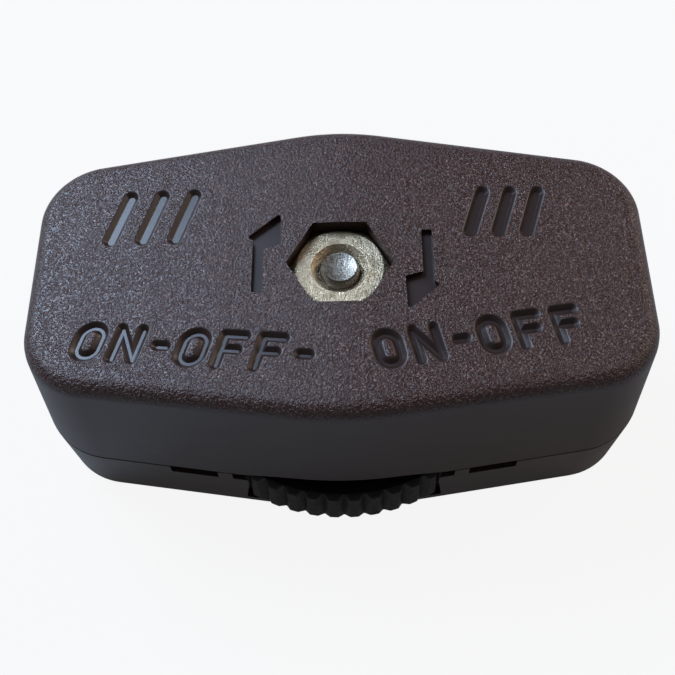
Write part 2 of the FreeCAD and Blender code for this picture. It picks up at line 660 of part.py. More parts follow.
def cut_windows(body):
    """Window over the wheel in each long side, with a wide top, and a notch at both its ends."""
    for name, reach, depth in (("window", f"({WELL_EXIT} + window_spare)", "parting_level - window_sill"),
                               ("window_top", STEP_END, "step_depth")):
        window = new_sketch(body, name, offset="parting_level")
        for across in ("-1", "1"):
            add_rectangle(window, f"-{reach}", reach,
                          f"{across} * ({MID_Y} - wall * 2)", f"{across} * ({MID_Y} + wall)")
        pocket(window, depth)
    notches = new_sketch(body, "notches", offset="parting_level")
    ends = [f"({STEP_END} + notch_spacing)", f"({STEP_END} + notch_spacing + notch_length)"]
    for side in ("-1", "1"):
        for across in ("-1", "1"):
            outline = [(x, f"({MID_Y} - {SIDE_SLOPE} * {x} + {out})")
                       for x, out in zip(ends + ends[::-1], ("-notch_depth", "-notch_depth", "wall", "wall"))]
            add_polygon(notches, [(f"{side} * {x}", f"{across} * {y}") for x, y in outline])
    pocket(notches, "notch_height")


def cut_contact_seats(body):
    """Sunk seats of the fixed contacts and the blind holes of every rivet in this shell."""
    seats = new_sketch(body, "seats", offset="parting_level")
    half = "(strip_width / 2 + seat_gap)"
    for side in ("-1", "1"):
        add_rectangle(seats, f"{side} * ({STRIP_START} - wall)", f"{side} * {GROOVE_START}", f"-{half}", half)
    pocket(seats, "strip_thickness")
    holes = new_sketch(body, "strip_rivet_holes", offset=STRIP_BOTTOM)
    for side in ("-1", "1"):
        add_circle(holes, f"{side} * {STRIP_MIDDLE}", "-strip_rivet_offset", "rivet_radius + stem_gap")
    pocket(holes, "strip_rivet_length - strip_thickness + rivet_hole_spare")
    hole = new_sketch(body, "leaf_rivet_hole", offset="floor_thickness")
    add_circle(hole, LEAF_RIVET, f"-{CAM_MIDDLE}", "rivet_radius + stem_gap")
    pocket(hole, "floor_rivet_length + rivet_hole_spare")


def cut_cores(body):
    """Sockets for the pegs, and blind cores at the other corners that keep the walls even."""
    sockets = new_sketch(body, "peg_sockets", offset="parting_level")
    for side, across in (("-1", "-1"), ("1", "1")):
        add_circle(sockets, f"{side} * {PILLAR_X}", f"{across} * {PILLAR_Y}", "peg_radius + peg_gap")
    pocket(sockets, "peg_length + peg_gap")
    cores = new_sketch(body, "cores", offset="parting_level")
    for side, across in (("1", "-1"), ("-1", "1")):
        add_rectangle(cores, f"{side} * ({PILLAR_X} - core_length / 2)",
                      f"{side} * ({PILLAR_X} + core_length / 2)",
                      f"{across} * ({PILLAR_Y} - core_width / 2)",
                      f"{across} * ({PILLAR_Y} + core_width / 2)")
    pocket(cores, "parting_level - core_floor")


def cut_screw_seat(body):
    """Counterbore for the screw's head in the base and its hole up the post."""
    seat = new_sketch(body, "head_seat")
    add_circle(seat, "0", "0", HEAD_SEAT)
    pocket(seat, HEAD_TOP, reverse=True)
    hole = new_sketch(body, "screw_hole")
    add_circle(hole, "0", "0", SCREW_HOLE)
    pocket(hole, "case_height", reverse=True)


# The thumbwheel and what turns with it

def make_thumbwheel():
    body = new_body("thumbwheel")
    section = new_sketch(body, "section", "XZ_Plane")
    add_polygon(section, [
        (BORE, HUB_BOTTOM), (HUB_RADIUS, HUB_BOTTOM), (HUB_RADIUS, WEB_BOTTOM),
        (CAM_INSIDE, WEB_BOTTOM), (CAM_INSIDE, CAM_BOTTOM), (CAM_OUTSIDE, CAM_BOTTOM),
        (CAM_OUTSIDE, WEB_BOTTOM), (RIM_INSIDE, WEB_BOTTOM), (RIM_INSIDE, WHEEL_BOTTOM),
        ("wheel_radius - rim_chamfer", WHEEL_BOTTOM), ("wheel_radius", f"{WHEEL_BOTTOM} + rim_chamfer"),
        ("wheel_radius", f"{WHEEL_TOP} - rim_chamfer"), ("wheel_radius - rim_chamfer", WHEEL_TOP),
        (RIM_INSIDE, WHEEL_TOP), (RIM_INSIDE, WEB_TOP), (HUB_RADIUS, WEB_TOP),
        (HUB_RADIUS, HUB_TOP), (BORE, HUB_TOP)])
    turn("Revolution", section)
    groove = new_sketch(body, "serration", offset=WHEEL_TOP)
    add_polygon(groove, [
        ("0", "-(wheel_radius - serration_depth)"), ("-serration_width", "-(wheel_radius + serration_depth)"),
        ("serration_width", "-(wheel_radius + serration_depth)")])
    repeat_round(pocket(groove, f"{WHEEL_TOP} - {WHEEL_BOTTOM}"), "serration_count")
    cut_cam_ramps(body)
    holes = new_sketch(body, "rivet_holes", offset=WEB_TOP)
    for across in ("-1", "1"):
        add_circle(holes, "0", f"{across} * {BRIDGE_RIVET}", "rivet_radius + stem_gap")
    pocket(holes, f"{WEB_TOP} - {CAM_BOTTOM}")
    return body


def cut_cam_ramps(body):
    """Saw-tooth notches under the web, one for each click, which let the wheel turn one way only."""
    stop = "-(crest_offset + leaf_crest / 2)"
    ramp = new_sketch(body, "cam_ramp", "XZ_Plane", f"{CAM_INSIDE} - leaf_gap")
    add_polygon(ramp, [
        (stop, f"{CAM_BOTTOM} - leaf_gap"), (f"{stop} + cam_notch_length", f"{CAM_BOTTOM} - leaf_gap"),
        (stop, WEB_BOTTOM)])
    cut = pocket(ramp, "cam_width + 4 * leaf_gap", reverse=True)
    repeat_round(cut, "cam_notch_count")


def make_bridge():
    """Brass ring with two arms, riveted on the wheel."""
    body = new_body("bridge_contact")
    ring = new_sketch(body, "ring", offset=WEB_TOP)
    add_circle(ring, "0", "0", f"{BRIDGE_INSIDE} + bridge_ring_width")
    pad(ring, "bridge_thickness")
    arms = new_sketch(body, "arms", offset=WEB_TOP)
    add_slot(arms, "0", BUTTON_REACH, "arm_width / 2")
    pad(arms, "bridge_thickness")
    holes = new_sketch(body, "holes", offset=WEB_TOP)
    add_circle(holes, "0", "0", BRIDGE_INSIDE)
    for side in ("-1", "1"):
        add_circle(holes, "0", f"{side} * {BRIDGE_RIVET}", "rivet_radius + stem_gap")
        add_circle(holes, f"{side} * {BUTTON_REACH}", "0", "button_stem_radius + stem_gap")
    pocket(holes, "bridge_thickness", reverse=True)
    return body


def rivet_profile(length):
    """Rivet with its head up and its head's seat at height zero."""
    return [
        ("0", f"-({length})"), ("rivet_radius", f"-({length})"), ("rivet_radius", "0"),
        ("rivet_head_radius", "0"), ("rivet_head_radius", "rivet_head_height / 2"),
        ("rivet_head_radius - rivet_head_height / 2", "rivet_head_height"), ("0", "rivet_head_height")]


def button_profile(head, stem):
    """Button with its face up and its head's seat at height zero."""
    return [
        ("0", f"-({stem})"), ("button_stem_radius", f"-({stem})"), ("button_stem_radius", "0"),
        ("button_radius", "0"), ("button_radius", f"{head} - button_bevel"),
        ("button_radius - button_bevel", head), ("0", head)]


def make_bridge_fittings():
    length = f"{BRIDGE_TOP} - {CAM_BOTTOM} - leaf_gap"
    for name, side in (("a", "-1"), ("b", "1")):
        turned_piece(f"bridge_rivet_{name}", rivet_profile(length),
                     y=f"{side} * {BRIDGE_RIVET}", z=BRIDGE_TOP)
        turned_piece(f"bridge_tip_{name}", button_profile("button_height", "bridge_thickness"),
                     x=f"{side} * {BUTTON_REACH}", z=BRIDGE_TOP)


# The fixed contacts and the cord pins

def make_contact(name, side):
    """Brass plate in its seat with a spring finger that reaches in over the wheel."""
    body = new_body(f"contact_{name}")
    half = "(strip_width / 2)"
    finger = "(finger_width / 2)"
    plan = new_sketch(body, "plan", offset=STRIP_BOTTOM)
    outline = [
        (STRIP_START, f"-{half}"), (STRIP_STOP, f"-{half}"), (STRIP_STOP, half), (STRIP_START, half),
        (STRIP_START, finger), (FINGER_TIP, finger), (FINGER_TIP, f"-{finger}"), (STRIP_START, f"-{finger}")]
    add_polygon(plan, [(f"{side} * {x}", y) for x, y in outline])
    pad(plan, "strip_thickness")
    tip = number(FINGER_TIP)
    fillet(body, "finger_end", "finger_width / 2.2",
           lambda edge: is_upright(edge) and abs(abs(edge.CenterOfMass.x) - tip) < 0.01)
    holes = new_sketch(body, "holes", offset=STRIP_BOTTOM)
    add_circle(holes, f"{side} * {BUTTON_REACH}", "0", "button_stem_radius + stem_gap")
    add_circle(holes, f"{side} * {STRIP_MIDDLE}", "-strip_rivet_offset", "rivet_radius + stem_gap")
    for step in ("-1", "1"):
        add_circle(holes, f"{side} * ({STRIP_MIDDLE} + {step} * pin_spacing / 2)", "conductor_offset",
                   "pin_radius + stem_gap")
    pocket(holes, "strip_thickness", reverse=True)
    return body


def make_contact_fittings(name, side):
    turned_piece(f"contact_rivet_{name}", rivet_profile("strip_rivet_length"),
                 x=f"{side} * {STRIP_MIDDLE}", y="-strip_rivet_offset", z="parting_level")
    head = f"({STRIP_BOTTOM} - {BRIDGE_TOP} - button_height - contact_gap)"
    button = turned_piece(f"contact_tip_{name}", button_profile(head, "strip_thickness"),
                          x=f"{side} * {BUTTON_REACH}", z=STRIP_BOTTOM)
    button.Placement.Rotation = FreeCAD.Rotation(Vector(1, 0, 0), 180)
    for place, step in (("inner", "-1"), ("outer", "1")):
        turned_piece(f"pin_{name}_{place}", [
            ("0", "-strip_thickness"), ("pin_radius", "-strip_thickness"), ("pin_radius", "0"),
            ("pin_flange_radius", "0"), ("pin_flange_radius", "pin_flange_height"),
            ("pin_radius", "pin_flange_height"), ("pin_radius", "pin_height - pin_point"),
            ("0", "pin_height")],
            x=f"{side} * ({STRIP_MIDDLE} + {step} * pin_spacing / 2)", y="conductor_offset",
            z="parting_level")


# Springs, insulation and the clamp

def make_detent_spring():
    """Bent leaf on the floor whose crest clicks in the cam ring, and its rivet."""
    bend = f"({LEAF_END} - leaf_foot)"
    crest = "-(crest_offset - leaf_crest / 2)"
    crest_end = "-(crest_offset + leaf_crest / 2)"
    end = f"({crest_end} - leaf_tail)"
    top = [(LEAF_END, "leaf_thickness"), (bend, "leaf_thickness"), (crest, LEAF_RISE),
           (crest_end, LEAF_RISE), (end, f"{LEAF_RISE} - leaf_tail_drop")]
    bottom = [(x, f"{y} - leaf_thickness") for x, y in reversed(top)]
    body = new_body("detent_spring")
    side = new_sketch(body, "side", "XZ_Plane", "-leaf_width / 2")
    add_polygon(side, top + bottom)
    pad(side, "leaf_width")
    hole = new_sketch(body, "hole")
    add_circle(hole, LEAF_RIVET, "0", "rivet_radius + stem_gap")
    pocket(hole, "leaf_thickness", reverse=True)
    stand(body, "0", f"-{CAM_MIDDLE}", "floor_thickness")
    turned_piece("detent_rivet", rivet_profile("floor_rivet_length + leaf_thickness"),
                 x=LEAF_RIVET, y=f"-{CAM_MIDDLE}", z="floor_thickness + leaf_thickness")


def make_spring_washer():
    """Cupped washer on the floor that presses the wheel's hub up."""
    inside = f"({POST_RADIUS} + washer_gap)"
    outside = f"({HUB_RADIUS} - washer_gap)"
    rise = "(spring_room - washer_gap)"
    turned_piece("spring_washer", [
        (outside, "0"), (outside, "washer_thickness"), (inside, rise), (inside, f"{rise} - washer_thickness")],
        z="floor_thickness")


def make_insulator():
    """Fibre disc between the live fingers and the cord that passes over them."""
    inside = f"({BOSS_RADIUS} + disc_gap)"
    turned_piece("insulator_disc", [
        (inside, "0"), (DISC_RADIUS, "0"), (DISC_RADIUS, "disc_thickness"),
        (inside, "disc_thickness")],
        z="parting_level + disc_lift")


def make_screw():
    """Slotted pan-head screw from the base up through the nut."""
    rim = "(head_diameter / 2)"
    round_off = "(head_height / 3)"
    shank = "(screw_diameter / 2)"
    tip = f"({NUT_TOP} + tip_rise)"
    body = turned_piece("clamp_screw", [
        ("0", "head_sink"), (f"{rim} - {round_off}", "head_sink"), (rim, f"head_sink + {round_off}"),
        (rim, HEAD_TOP), (shank, HEAD_TOP), (shank, f"{tip} - tip_chamfer"),
        (f"{shank} - tip_chamfer", tip), ("0", tip)])
    slot = new_sketch(body, "slot")
    add_rectangle(slot, "-head_diameter", "head_diameter", "-slot_width / 2", "slot_width / 2")
    pocket(slot, "head_sink + slot_depth", reverse=True)


def make_nut():
    body = new_body("hex_nut")
    hexagon = new_sketch(body, "hexagon", offset=NUT_BOTTOM)
    add_hexagon(hexagon, "nut_flats")
    pad(hexagon, "nut_thickness")
    corner = "(nut_flats / sqrt(3) * 1.1)"
    flat = "(nut_flats / 2 * 0.97)"
    drop = f"(({corner} - {flat}) / sqrt(3))"
    for name, face, inwards in (("top", NUT_TOP, "-1"), ("bottom", NUT_BOTTOM, "1")):
        bevel = new_sketch(body, f"{name}_bevel", "XZ_Plane")
        past = f"{face} - {inwards} * nut_thickness / 10"
        add_polygon(bevel, [
            (flat, face), (corner, f"{face} + {inwards} * {drop}"), (corner, past), (flat, past)])
        turn("Groove", bevel)
    bore = new_sketch(body, "bore", offset=NUT_BOTTOM)
    add_circle(bore, "0", "0", "screw_diameter / 2 + thread_gap")
    pocket(bore, "nut_thickness", reverse=True)
    mouths = [number(NUT_TOP), number(NUT_BOTTOM)]
    chamfer(body, "countersink", "nut_countersink",
            lambda edge: edge.Length < number("screw_diameter * 3.5") and edge.Closed
            and any(lies_at(edge, level) for level in mouths))


# Checks and files

def check_model():
    """Stops on a failed object, an empty or open shape, or a feature that changed nothing."""
    for thing in doc.Objects:
        if "Invalid" in thing.State or "Error" in thing.State:
            raise RuntimeError(f"{thing.Label} failed: {thing.State}")
    for body in bodies():
        if body.Shape.isNull() or not body.Shape.isValid() or len(body.Shape.Solids) != 1:
            raise RuntimeError(f"{body.Label} isn't one valid solid")
        before = 0.0
        for feature in body.Group:
            if not feature.isDerivedFrom("PartDesign::Feature"):
                continue
            volume = feature.Shape.Volume
            if abs(volume - before) < 1e-6:
                raise RuntimeError(f"{feature.Name} changed nothing")
            if feature.TypeId == "PartDesign::Pocket" and volume > before:
                raise RuntimeError(f"{feature.Name} added material")
            before = volume


def bodies():
    return [thing for thing in doc.Objects if thing.TypeId == "PartDesign::Body"]


def write_parts():
    os.makedirs("parts", exist_ok=True)
    for body in bodies():
        body.Shape.exportStep(f"parts/{body.Label}.step")
        box = body.Shape.BoundBox
        print(f"{body.Label}: {body.Shape.Volume:.1f} mm3, x {box.XMin:.2f} {box.XMax:.2f}, "
              f"y {box.YMin:.2f} {box.YMax:.2f}, z {box.ZMin:.2f} {box.ZMax:.2f}")


fill_sheet()
make_upper_shell()
make_lower_shell()
make_thumbwheel()
make_bridge()
make_bridge_fittings()
for end_name, end_side in (("left", "-1"), ("right", "1")):
    make_contact(end_name, end_side)
    make_contact_fittings(end_name, end_side)
make_detent_spring()
make_spring_washer()
make_insulator()
make_screw()
make_nut()
doc.recompute()
check_model()
write_parts()
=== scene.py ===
import json
import logging
import math
from contextlib import contextmanager
from dataclasses import dataclass, field
from enum import Enum
from typing import Callable, Iterator, Sequence

import bpy
from mathutils import Matrix, Vector

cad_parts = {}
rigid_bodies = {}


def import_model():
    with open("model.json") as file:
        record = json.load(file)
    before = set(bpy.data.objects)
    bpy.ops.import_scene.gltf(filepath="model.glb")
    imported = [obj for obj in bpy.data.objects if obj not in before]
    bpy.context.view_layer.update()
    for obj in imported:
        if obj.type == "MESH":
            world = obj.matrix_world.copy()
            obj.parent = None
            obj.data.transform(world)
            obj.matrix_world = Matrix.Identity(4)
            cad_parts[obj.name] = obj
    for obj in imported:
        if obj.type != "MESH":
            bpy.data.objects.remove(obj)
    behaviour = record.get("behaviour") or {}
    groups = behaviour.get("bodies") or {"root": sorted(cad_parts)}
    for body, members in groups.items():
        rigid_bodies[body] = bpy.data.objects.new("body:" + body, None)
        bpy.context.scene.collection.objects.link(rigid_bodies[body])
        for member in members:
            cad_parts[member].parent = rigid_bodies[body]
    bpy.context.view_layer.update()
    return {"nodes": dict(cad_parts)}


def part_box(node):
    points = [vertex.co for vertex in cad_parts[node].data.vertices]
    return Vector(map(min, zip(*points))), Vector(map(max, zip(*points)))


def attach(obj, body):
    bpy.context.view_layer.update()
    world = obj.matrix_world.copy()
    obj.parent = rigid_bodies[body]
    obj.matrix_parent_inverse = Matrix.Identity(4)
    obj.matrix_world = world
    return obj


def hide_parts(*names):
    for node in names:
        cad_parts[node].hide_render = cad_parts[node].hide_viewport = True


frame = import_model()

Pair = tuple[float, float]
Triple = tuple[float, float, float]
PlaceTest = Callable[[Vector], bool]

MM = 0.001
MERGE = 0.001          # points nearer than this are one, in millimetres
CUT_MERGE = 0.0001     # the same for the points of a level cut
FLAT_ANGLE = 0.05      # faces that turn less than this are one, in degrees
SMOOTH_ANGLE = 36.0    # an edge that turns more than this stays sharp, in degrees
FACE_WEIGHT = 100      # how far large faces outweigh small ones in the shading, 100 at most
WHITE = (1.0, 1.0, 1.0)
log = logging.getLogger("cord_switch")


# Shader maths

class Signal:
    """One output socket of a node tree, which adds and multiplies as a number does."""

    def __init__(self, bench: "Bench", socket: bpy.types.NodeSocket) -> None:
        """Keeps the socket and the bench that made it."""
        self.bench = bench
        self.socket = socket

    def _maths(self, operation: str, first: "Signal | float", second: "Signal | float") -> "Signal":
        """Adds a Math node for one operation on two numbers."""
        return self.bench.node("ShaderNodeMath", {"operation": operation}, {0: first, 1: second})

    def __add__(self, other: "Signal | float") -> "Signal":
        """Sum."""
        return self._maths("ADD", self, other)

    def __radd__(self, other: float) -> "Signal":
        """Sum with a number on the left."""
        return self._maths("ADD", other, self)

    def __sub__(self, other: "Signal | float") -> "Signal":
        """Difference."""
        return self._maths("SUBTRACT", self, other)

    def __rsub__(self, other: float) -> "Signal":
        """Difference with a number on the left."""
        return self._maths("SUBTRACT", other, self)

    def __mul__(self, other: "Signal | float") -> "Signal":
        """Product."""
        return self._maths("MULTIPLY", self, other)

    def __rmul__(self, other: float) -> "Signal":
        """Product with a number on the left."""
        return self._maths("MULTIPLY", other, self)

    def __abs__(self) -> "Signal":
        """Size without its sign."""
        return self._maths("ABSOLUTE", self, 0.0)

    def at_least(self, other: "Signal | float") -> "Signal":
        """The larger of two numbers."""
        return self._maths("MAXIMUM", self, other)

    def step(self, low: float, high: float) -> "Signal":
        """Goes smoothly from 0 at low to 1 at high."""
        return self.bench.node("ShaderNodeMapRange", {"interpolation_type": "SMOOTHSTEP", "clamp": True},
                               {"Value": self, "From Min": low, "From Max": high})


@dataclass(frozen=True)
class Pattern:
    """Noise on a surface, from 0 to 1.

    The scale is in patches a millimetre, and a stretch over 1 makes them finer along that axis.
    With a span, what lies between its two numbers is drawn out smoothly to 0 and 1.
    """

    scale: float
    detail: float
    rough: float
    stretch: Triple | None = None
    span: Pair | None = None


class Bench:
    """Node tree of one material or world, with its output."""

    def __init__(self, owner: "bpy.types.Material | bpy.types.World", output: str) -> None:
        """Empties the owner's node tree and adds the output.

        Args:
            owner: the material or world.
            output: the type of its output node.
        """
        owner.use_nodes = True
        self.tree = owner.node_tree
        self.tree.nodes.clear()
        self.out = self.tree.nodes.new(output)

    def node(self, kind: str, settings: dict | None = None, values: dict | None = None,
             output: int | str = 0) -> Signal:
        """Adds a node, sets it up and joins it.

        Args:
            kind: the node's type.
            settings: its properties.
            values: numbers, colours or signals by the name or number of an input.
            output: the output that is returned.

        Returns:
            The chosen output as a signal.
        """
        made = self.tree.nodes.new(kind)
        for key, value in (settings or {}).items():
            setattr(made, key, value)
        for key, value in (values or {}).items():
            self.feed(made.inputs[key], value)
        return Signal(self, made.outputs[output])

    def feed(self, socket: bpy.types.NodeSocket, value: "Signal | float | Sequence[float]") -> None:
        """Joins a signal to a socket, or sets a fixed value on it."""
        if isinstance(value, Signal):
            self.tree.links.new(value.socket, socket)
        elif isinstance(value, tuple) and socket.type == "RGBA":
            socket.default_value = (*value, 1.0)
        else:
            socket.default_value = value

    def finish(self, surface: Signal) -> None:
        """Gives the output the shader that it shows."""
        self.tree.links.new(surface.socket, self.out.inputs["Surface"])


class MaterialBench(Bench):
    """Bench of a material, with its Principled shader and a place to start from."""

    def __init__(self, name: str) -> None:
        """Makes a material of this name that shows a Principled shader."""
        self.material = bpy.data.materials.new(name)
        super().__init__(self.material, "ShaderNodeOutputMaterial")
        self.shader = self.node("ShaderNodeBsdfPrincipled")
        self.finish(self.shader)

    def set(self, **values: Signal | float | Triple) -> None:
        """Feeds the Principled shader, with spaces in socket names written as underscores."""
        for key, value in values.items():
            self.feed(self.shader.socket.node.inputs[key.replace("_", " ")], value)

    def place(self) -> Signal:
        """Object coordinates in millimetres."""
        here = self.node("ShaderNodeTexCoord", output="Object")
        return self.node("ShaderNodeVectorMath", {"operation": "SCALE"}, {0: here, "Scale": 1 / MM})

    def axes(self, place: Signal) -> list[Signal]:
        """The three numbers of a vector."""
        split = self.node("ShaderNodeSeparateXYZ", None, {0: place}).socket.node
        return [Signal(self, socket) for socket in split.outputs]

    def upward(self) -> Signal:
        """How far the surface faces up: 1 on a level top, 0 on a wall."""
        return self.axes(self.node("ShaderNodeNewGeometry", output="Normal"))[2]

    def noise(self, place: Signal, pattern: Pattern) -> Signal:
        """Noise over a place, from 0 to 1, as a pattern says."""
        if pattern.stretch:
            place = self.node("ShaderNodeMapping", None, {"Vector": place, "Scale": pattern.stretch})
        made = self.node("ShaderNodeTexNoise", None, {"Vector": place, "Scale": pattern.scale,
                                                      "Detail": pattern.detail, "Roughness": pattern.rough})
        return made.step(*pattern.span) if pattern.span else made

    def blend(self, share: Signal | float, first: Signal | Triple, second: Signal | Triple,
              how: str = "MIX") -> Signal:
        """Mixes two colours.

        Args:
            share: 0 for the first colour, 1 for the second.
            first: a colour or a signal.
            second: a colour or a signal.
            how: the Mix node's way of mixing.

        Returns:
            The mixed colour.
        """
        return self.node("ShaderNodeMix", {"data_type": "RGBA", "blend_type": how},
                         {0: share, 6: first, 7: second}, 2)

    def bump(self, height: Signal, strength: float, depth: float) -> Signal:
        """Normal from a height, whose depth is in millimetres."""
        return self.node("ShaderNodeBump", None,
                         {"Height": height, "Strength": strength, "Distance": depth * MM})


# The roof's shape

@dataclass(frozen=True)
class Roof:
    """Two flat slopes that fall from the ridge to both ends, in millimetres."""

    level: float = 21.0
    fall: float = 1.0 / 28.0

    def frame_at(self, place: Pair, slope: float) -> Matrix:
        """Frame on the roof.

        Args:
            place: its origin across the roof.
            slope: the turn of its first axis, in degrees.

        Returns:
            The frame as a matrix in metres, with its third axis out of the roof.
        """
        x, y = place
        side = math.copysign(1.0, x)
        out = Vector((side * self.fall, 0.0, 1.0)).normalized()
        turn = math.radians(slope)
        along = Vector((math.cos(turn), math.sin(turn), -side * self.fall * math.cos(turn))).normalized()
        origin = Vector((x, y, self.level - abs(x) * self.fall)) * MM
        return Matrix.Translation(origin) @ Matrix((along, out.cross(along), out)).transposed().to_4x4()


# Finishes

@dataclass(frozen=True)
class BrownMoulding:
    """Moulded brown plastic, spark-textured on the roof and smooth on its walls and in its recesses.

    A reach is measured from the middle and a depth from the roof, both in millimetres, and a slope
    is 1 on a level top and 0 on a wall. Each pair says where an area starts and where it is whole,
    or where it starts to end and has ended.
    """

    name: str = "brown_moulding"
    body: Triple = (0.034, 0.0120, 0.0095)
    wall: Triple = (0.026, 0.0130, 0.0110)
    # lighter brown specks on the roof: partly the plastic's own grain, partly painted glints that stand in
    # for the spark texture's sparkle
    grain_and_glint: Triple = (0.23, 0.140, 0.120)
    floor: Triple = (0.030, 0.018, 0.017)
    dark_cloud: Triple = (0.86, 0.86, 0.88)
    light_cloud: Triple = (1.12, 1.1, 1.08)
    roof: Roof = Roof()
    side_fall: float = 0.137
    side_reach: Pair = (12.6, 13.1)
    end_reach: Pair = (25.4, 25.9)
    corner_reach: Pair = (33.4, 34.1)
    rim_slope: Pair = (0.15, 0.6)
    rim_end_depth: Pair = (1.1, 1.8)
    top_slope: Pair = (0.93, 0.99)
    top_end_depth: Pair = (0.04, 0.16)
    sunk_depth: Pair = (0.05, 0.2)
    sunk_end_depth: Pair = (0.55, 0.7)
    recess_depth: Pair = (0.2, 0.3)
    grains: Pattern = Pattern(4.4, 2.0, 0.6, span=(0.38, 0.66))
    fine: Pattern = Pattern(8.0, 2.0, 0.6)
    specks: Pattern = Pattern(5.6, 1.0, 0.5, span=(0.57, 0.7))
    cloud: Pattern = Pattern(0.14, 3.0, 0.6)
    flow: Pattern = Pattern(0.9, 3.0, 0.55, stretch=(0.3, 0.6, 1.2))
    speck_share: float = 0.8
    # how far the specks thin out on the rounded rim: painted shade that darkens the rim's rounding
    rim_painted_shade: float = 0.4
    rough: float = 0.42
    flow_rough: float = 0.06
    roof_shine: float = 0.14
    recess_shine: float = 0.14
    speck_shine: float = 0.1
    sunk_wall_shine: float = 0.12
    grain_height: float = 0.8
    fine_height: float = 0.4
    flow_height: float = 0.08
    relief: float = 1.0
    depth: float = 0.058

    def areas(self, bench: MaterialBench, place: Signal) -> tuple[Signal, Signal, Signal, Signal]:
        """Tells the moulding's areas apart.

        Args:
            bench: the material's bench.
            place: the place on the moulding.

        Returns:
            The rounded rim, all that is textured, the floors of the recesses and their walls.
        """
        x, y, z = bench.axes(place)
        drop = self.roof.level - abs(x) * self.roof.fall - z
        upward = bench.upward()
        level = upward.step(*self.top_slope)
        rim = (abs(y) + abs(x) * self.side_fall).step(*self.side_reach).at_least(
            abs(x).step(*self.end_reach)).at_least((abs(x) + abs(y)).step(*self.corner_reach))
        on_rim = rim * upward.step(*self.rim_slope) * (1 - drop.step(*self.rim_end_depth))
        on_roof = ((1 - drop.step(*self.top_end_depth)) * level).at_least(on_rim)
        sunk = drop.step(*self.sunk_depth) * (1 - drop.step(*self.sunk_end_depth)) * (1 - rim)
        in_recess = drop.step(*self.recess_depth) * sunk * level
        return rim, on_roof, in_recess, sunk * (1 - level)

    def build(self) -> bpy.types.Material:
        """Makes the material."""
        bench = MaterialBench(self.name)
        place = bench.place()
        rim, on_roof, in_recess, on_wall = self.areas(bench, place)
        grains, fine, specks, cloud, flow = (bench.noise(place, pattern) for pattern in (
            self.grains, self.fine, self.specks, self.cloud, self.flow))
        # fewer specks on the rim darken it: painted shade
        speck_share = specks * (self.speck_share - rim * self.rim_painted_shade)
        # roof colour: the body with pale specks, which are partly real grain and partly painted glints
        textured = bench.blend(speck_share, self.body, self.grain_and_glint)
        plain = bench.blend(in_recess, self.wall, self.floor)
        shade = bench.blend(cloud, self.dark_cloud, self.light_cloud)
        rough = self.rough + flow * self.flow_rough - on_roof * self.roof_shine \
            - in_recess * self.recess_shine - on_roof * specks * self.speck_shine \
            - on_wall * self.sunk_wall_shine
        height = on_roof * (grains * self.grain_height + fine * self.fine_height) \
            + (1 - on_roof) * flow * self.flow_height
        bench.set(Base_Color=bench.blend(1.0, bench.blend(on_roof, plain, textured), shade, "MULTIPLY"),
                  Roughness=rough, Normal=bench.bump(height, self.relief, self.depth))
        return bench.material


@dataclass(frozen=True)
class BlackMoulding:
    """Black plastic of the wheel, with a slight grey bloom."""

    name: str = "black_moulding"
    body: Triple = (0.0035, 0.0033, 0.0031)
    bloom: Triple = (0.011, 0.0105, 0.01)
    dust: Pattern = Pattern(1.3, 4.0, 0.65, span=(0.45, 0.8))
    pits: Pattern = Pattern(6.0, 3.0, 0.6)
    dust_share: float = 0.6
    rough: float = 0.42
    dust_rough: float = 0.2
    shine: float = 0.2
    relief: float = 0.35
    depth: float = 0.03

    def build(self) -> bpy.types.Material:
        """Makes the material."""
        bench = MaterialBench(self.name)
        place = bench.place()
        dust, pits = bench.noise(place, self.dust), bench.noise(place, self.pits)
        bench.set(Base_Color=bench.blend(dust * self.dust_share, self.body, self.bloom),
                  Roughness=self.rough + dust * self.dust_rough, Specular_IOR_Level=self.shine,
                  Normal=bench.bump(pits, self.relief, self.depth))
        return bench.material


@dataclass(frozen=True)
class Metal:
    """Rolled, plated or turned metal with fine scratches and soft stains."""

    name: str
    body: Triple
    stain: Triple
    rough: float
    relief: float
    stains: Pattern = Pattern(0.9, 4.0, 0.6, span=(0.4, 0.75))
    lengthwise: Pattern = Pattern(1.2, 3.0, 0.65, stretch=(6.0, 1.8, 4.0), span=(0.35, 0.65))
    crosswise: Pattern = Pattern(1.4, 3.0, 0.65, stretch=(1.8, 5.0, 4.0), span=(0.35, 0.65))
    scratch_rough: float = 0.22
    stain_rough: float = 0.1
    depth: float = 0.07

    def build(self) -> bpy.types.Material:
        """Makes the material."""
        bench = MaterialBench(self.name)
        place = bench.place()
        stains = bench.noise(place, self.stains)
        scratches = (bench.noise(place, self.lengthwise) + bench.noise(place, self.crosswise)) * 0.5
        bench.set(Base_Color=bench.blend(stains, self.body, self.stain), Metallic=1.0,
                  Roughness=self.rough + scratches * self.scratch_rough + stains * self.stain_rough,
                  Normal=bench.bump(scratches, self.relief, self.depth))
        return bench.material


@dataclass(frozen=True)
class Fibre:
    """Pressed fibre board with short dark hairs in it."""

    name: str = "pressed_fibre"
    body: Triple = (0.2, 0.075, 0.04)
    hair: Triple = (0.09, 0.035, 0.022)
    hairs: Pattern = Pattern(1.2, 5.0, 0.75, stretch=(1.0, 5.0, 1.0), span=(0.45, 0.65))
    felt: Pattern = Pattern(5.0, 3.0, 0.7)
    rough: float = 0.78
    relief: float = 0.5
    depth: float = 0.05

    def build(self) -> bpy.types.Material:
        """Makes the material."""
        bench = MaterialBench(self.name)
        place = bench.place()
        bench.set(Base_Color=bench.blend(bench.noise(place, self.hairs), self.body, self.hair),
                  Roughness=self.rough,
                  Normal=bench.bump(bench.noise(place, self.felt), self.relief, self.depth))
        return bench.material


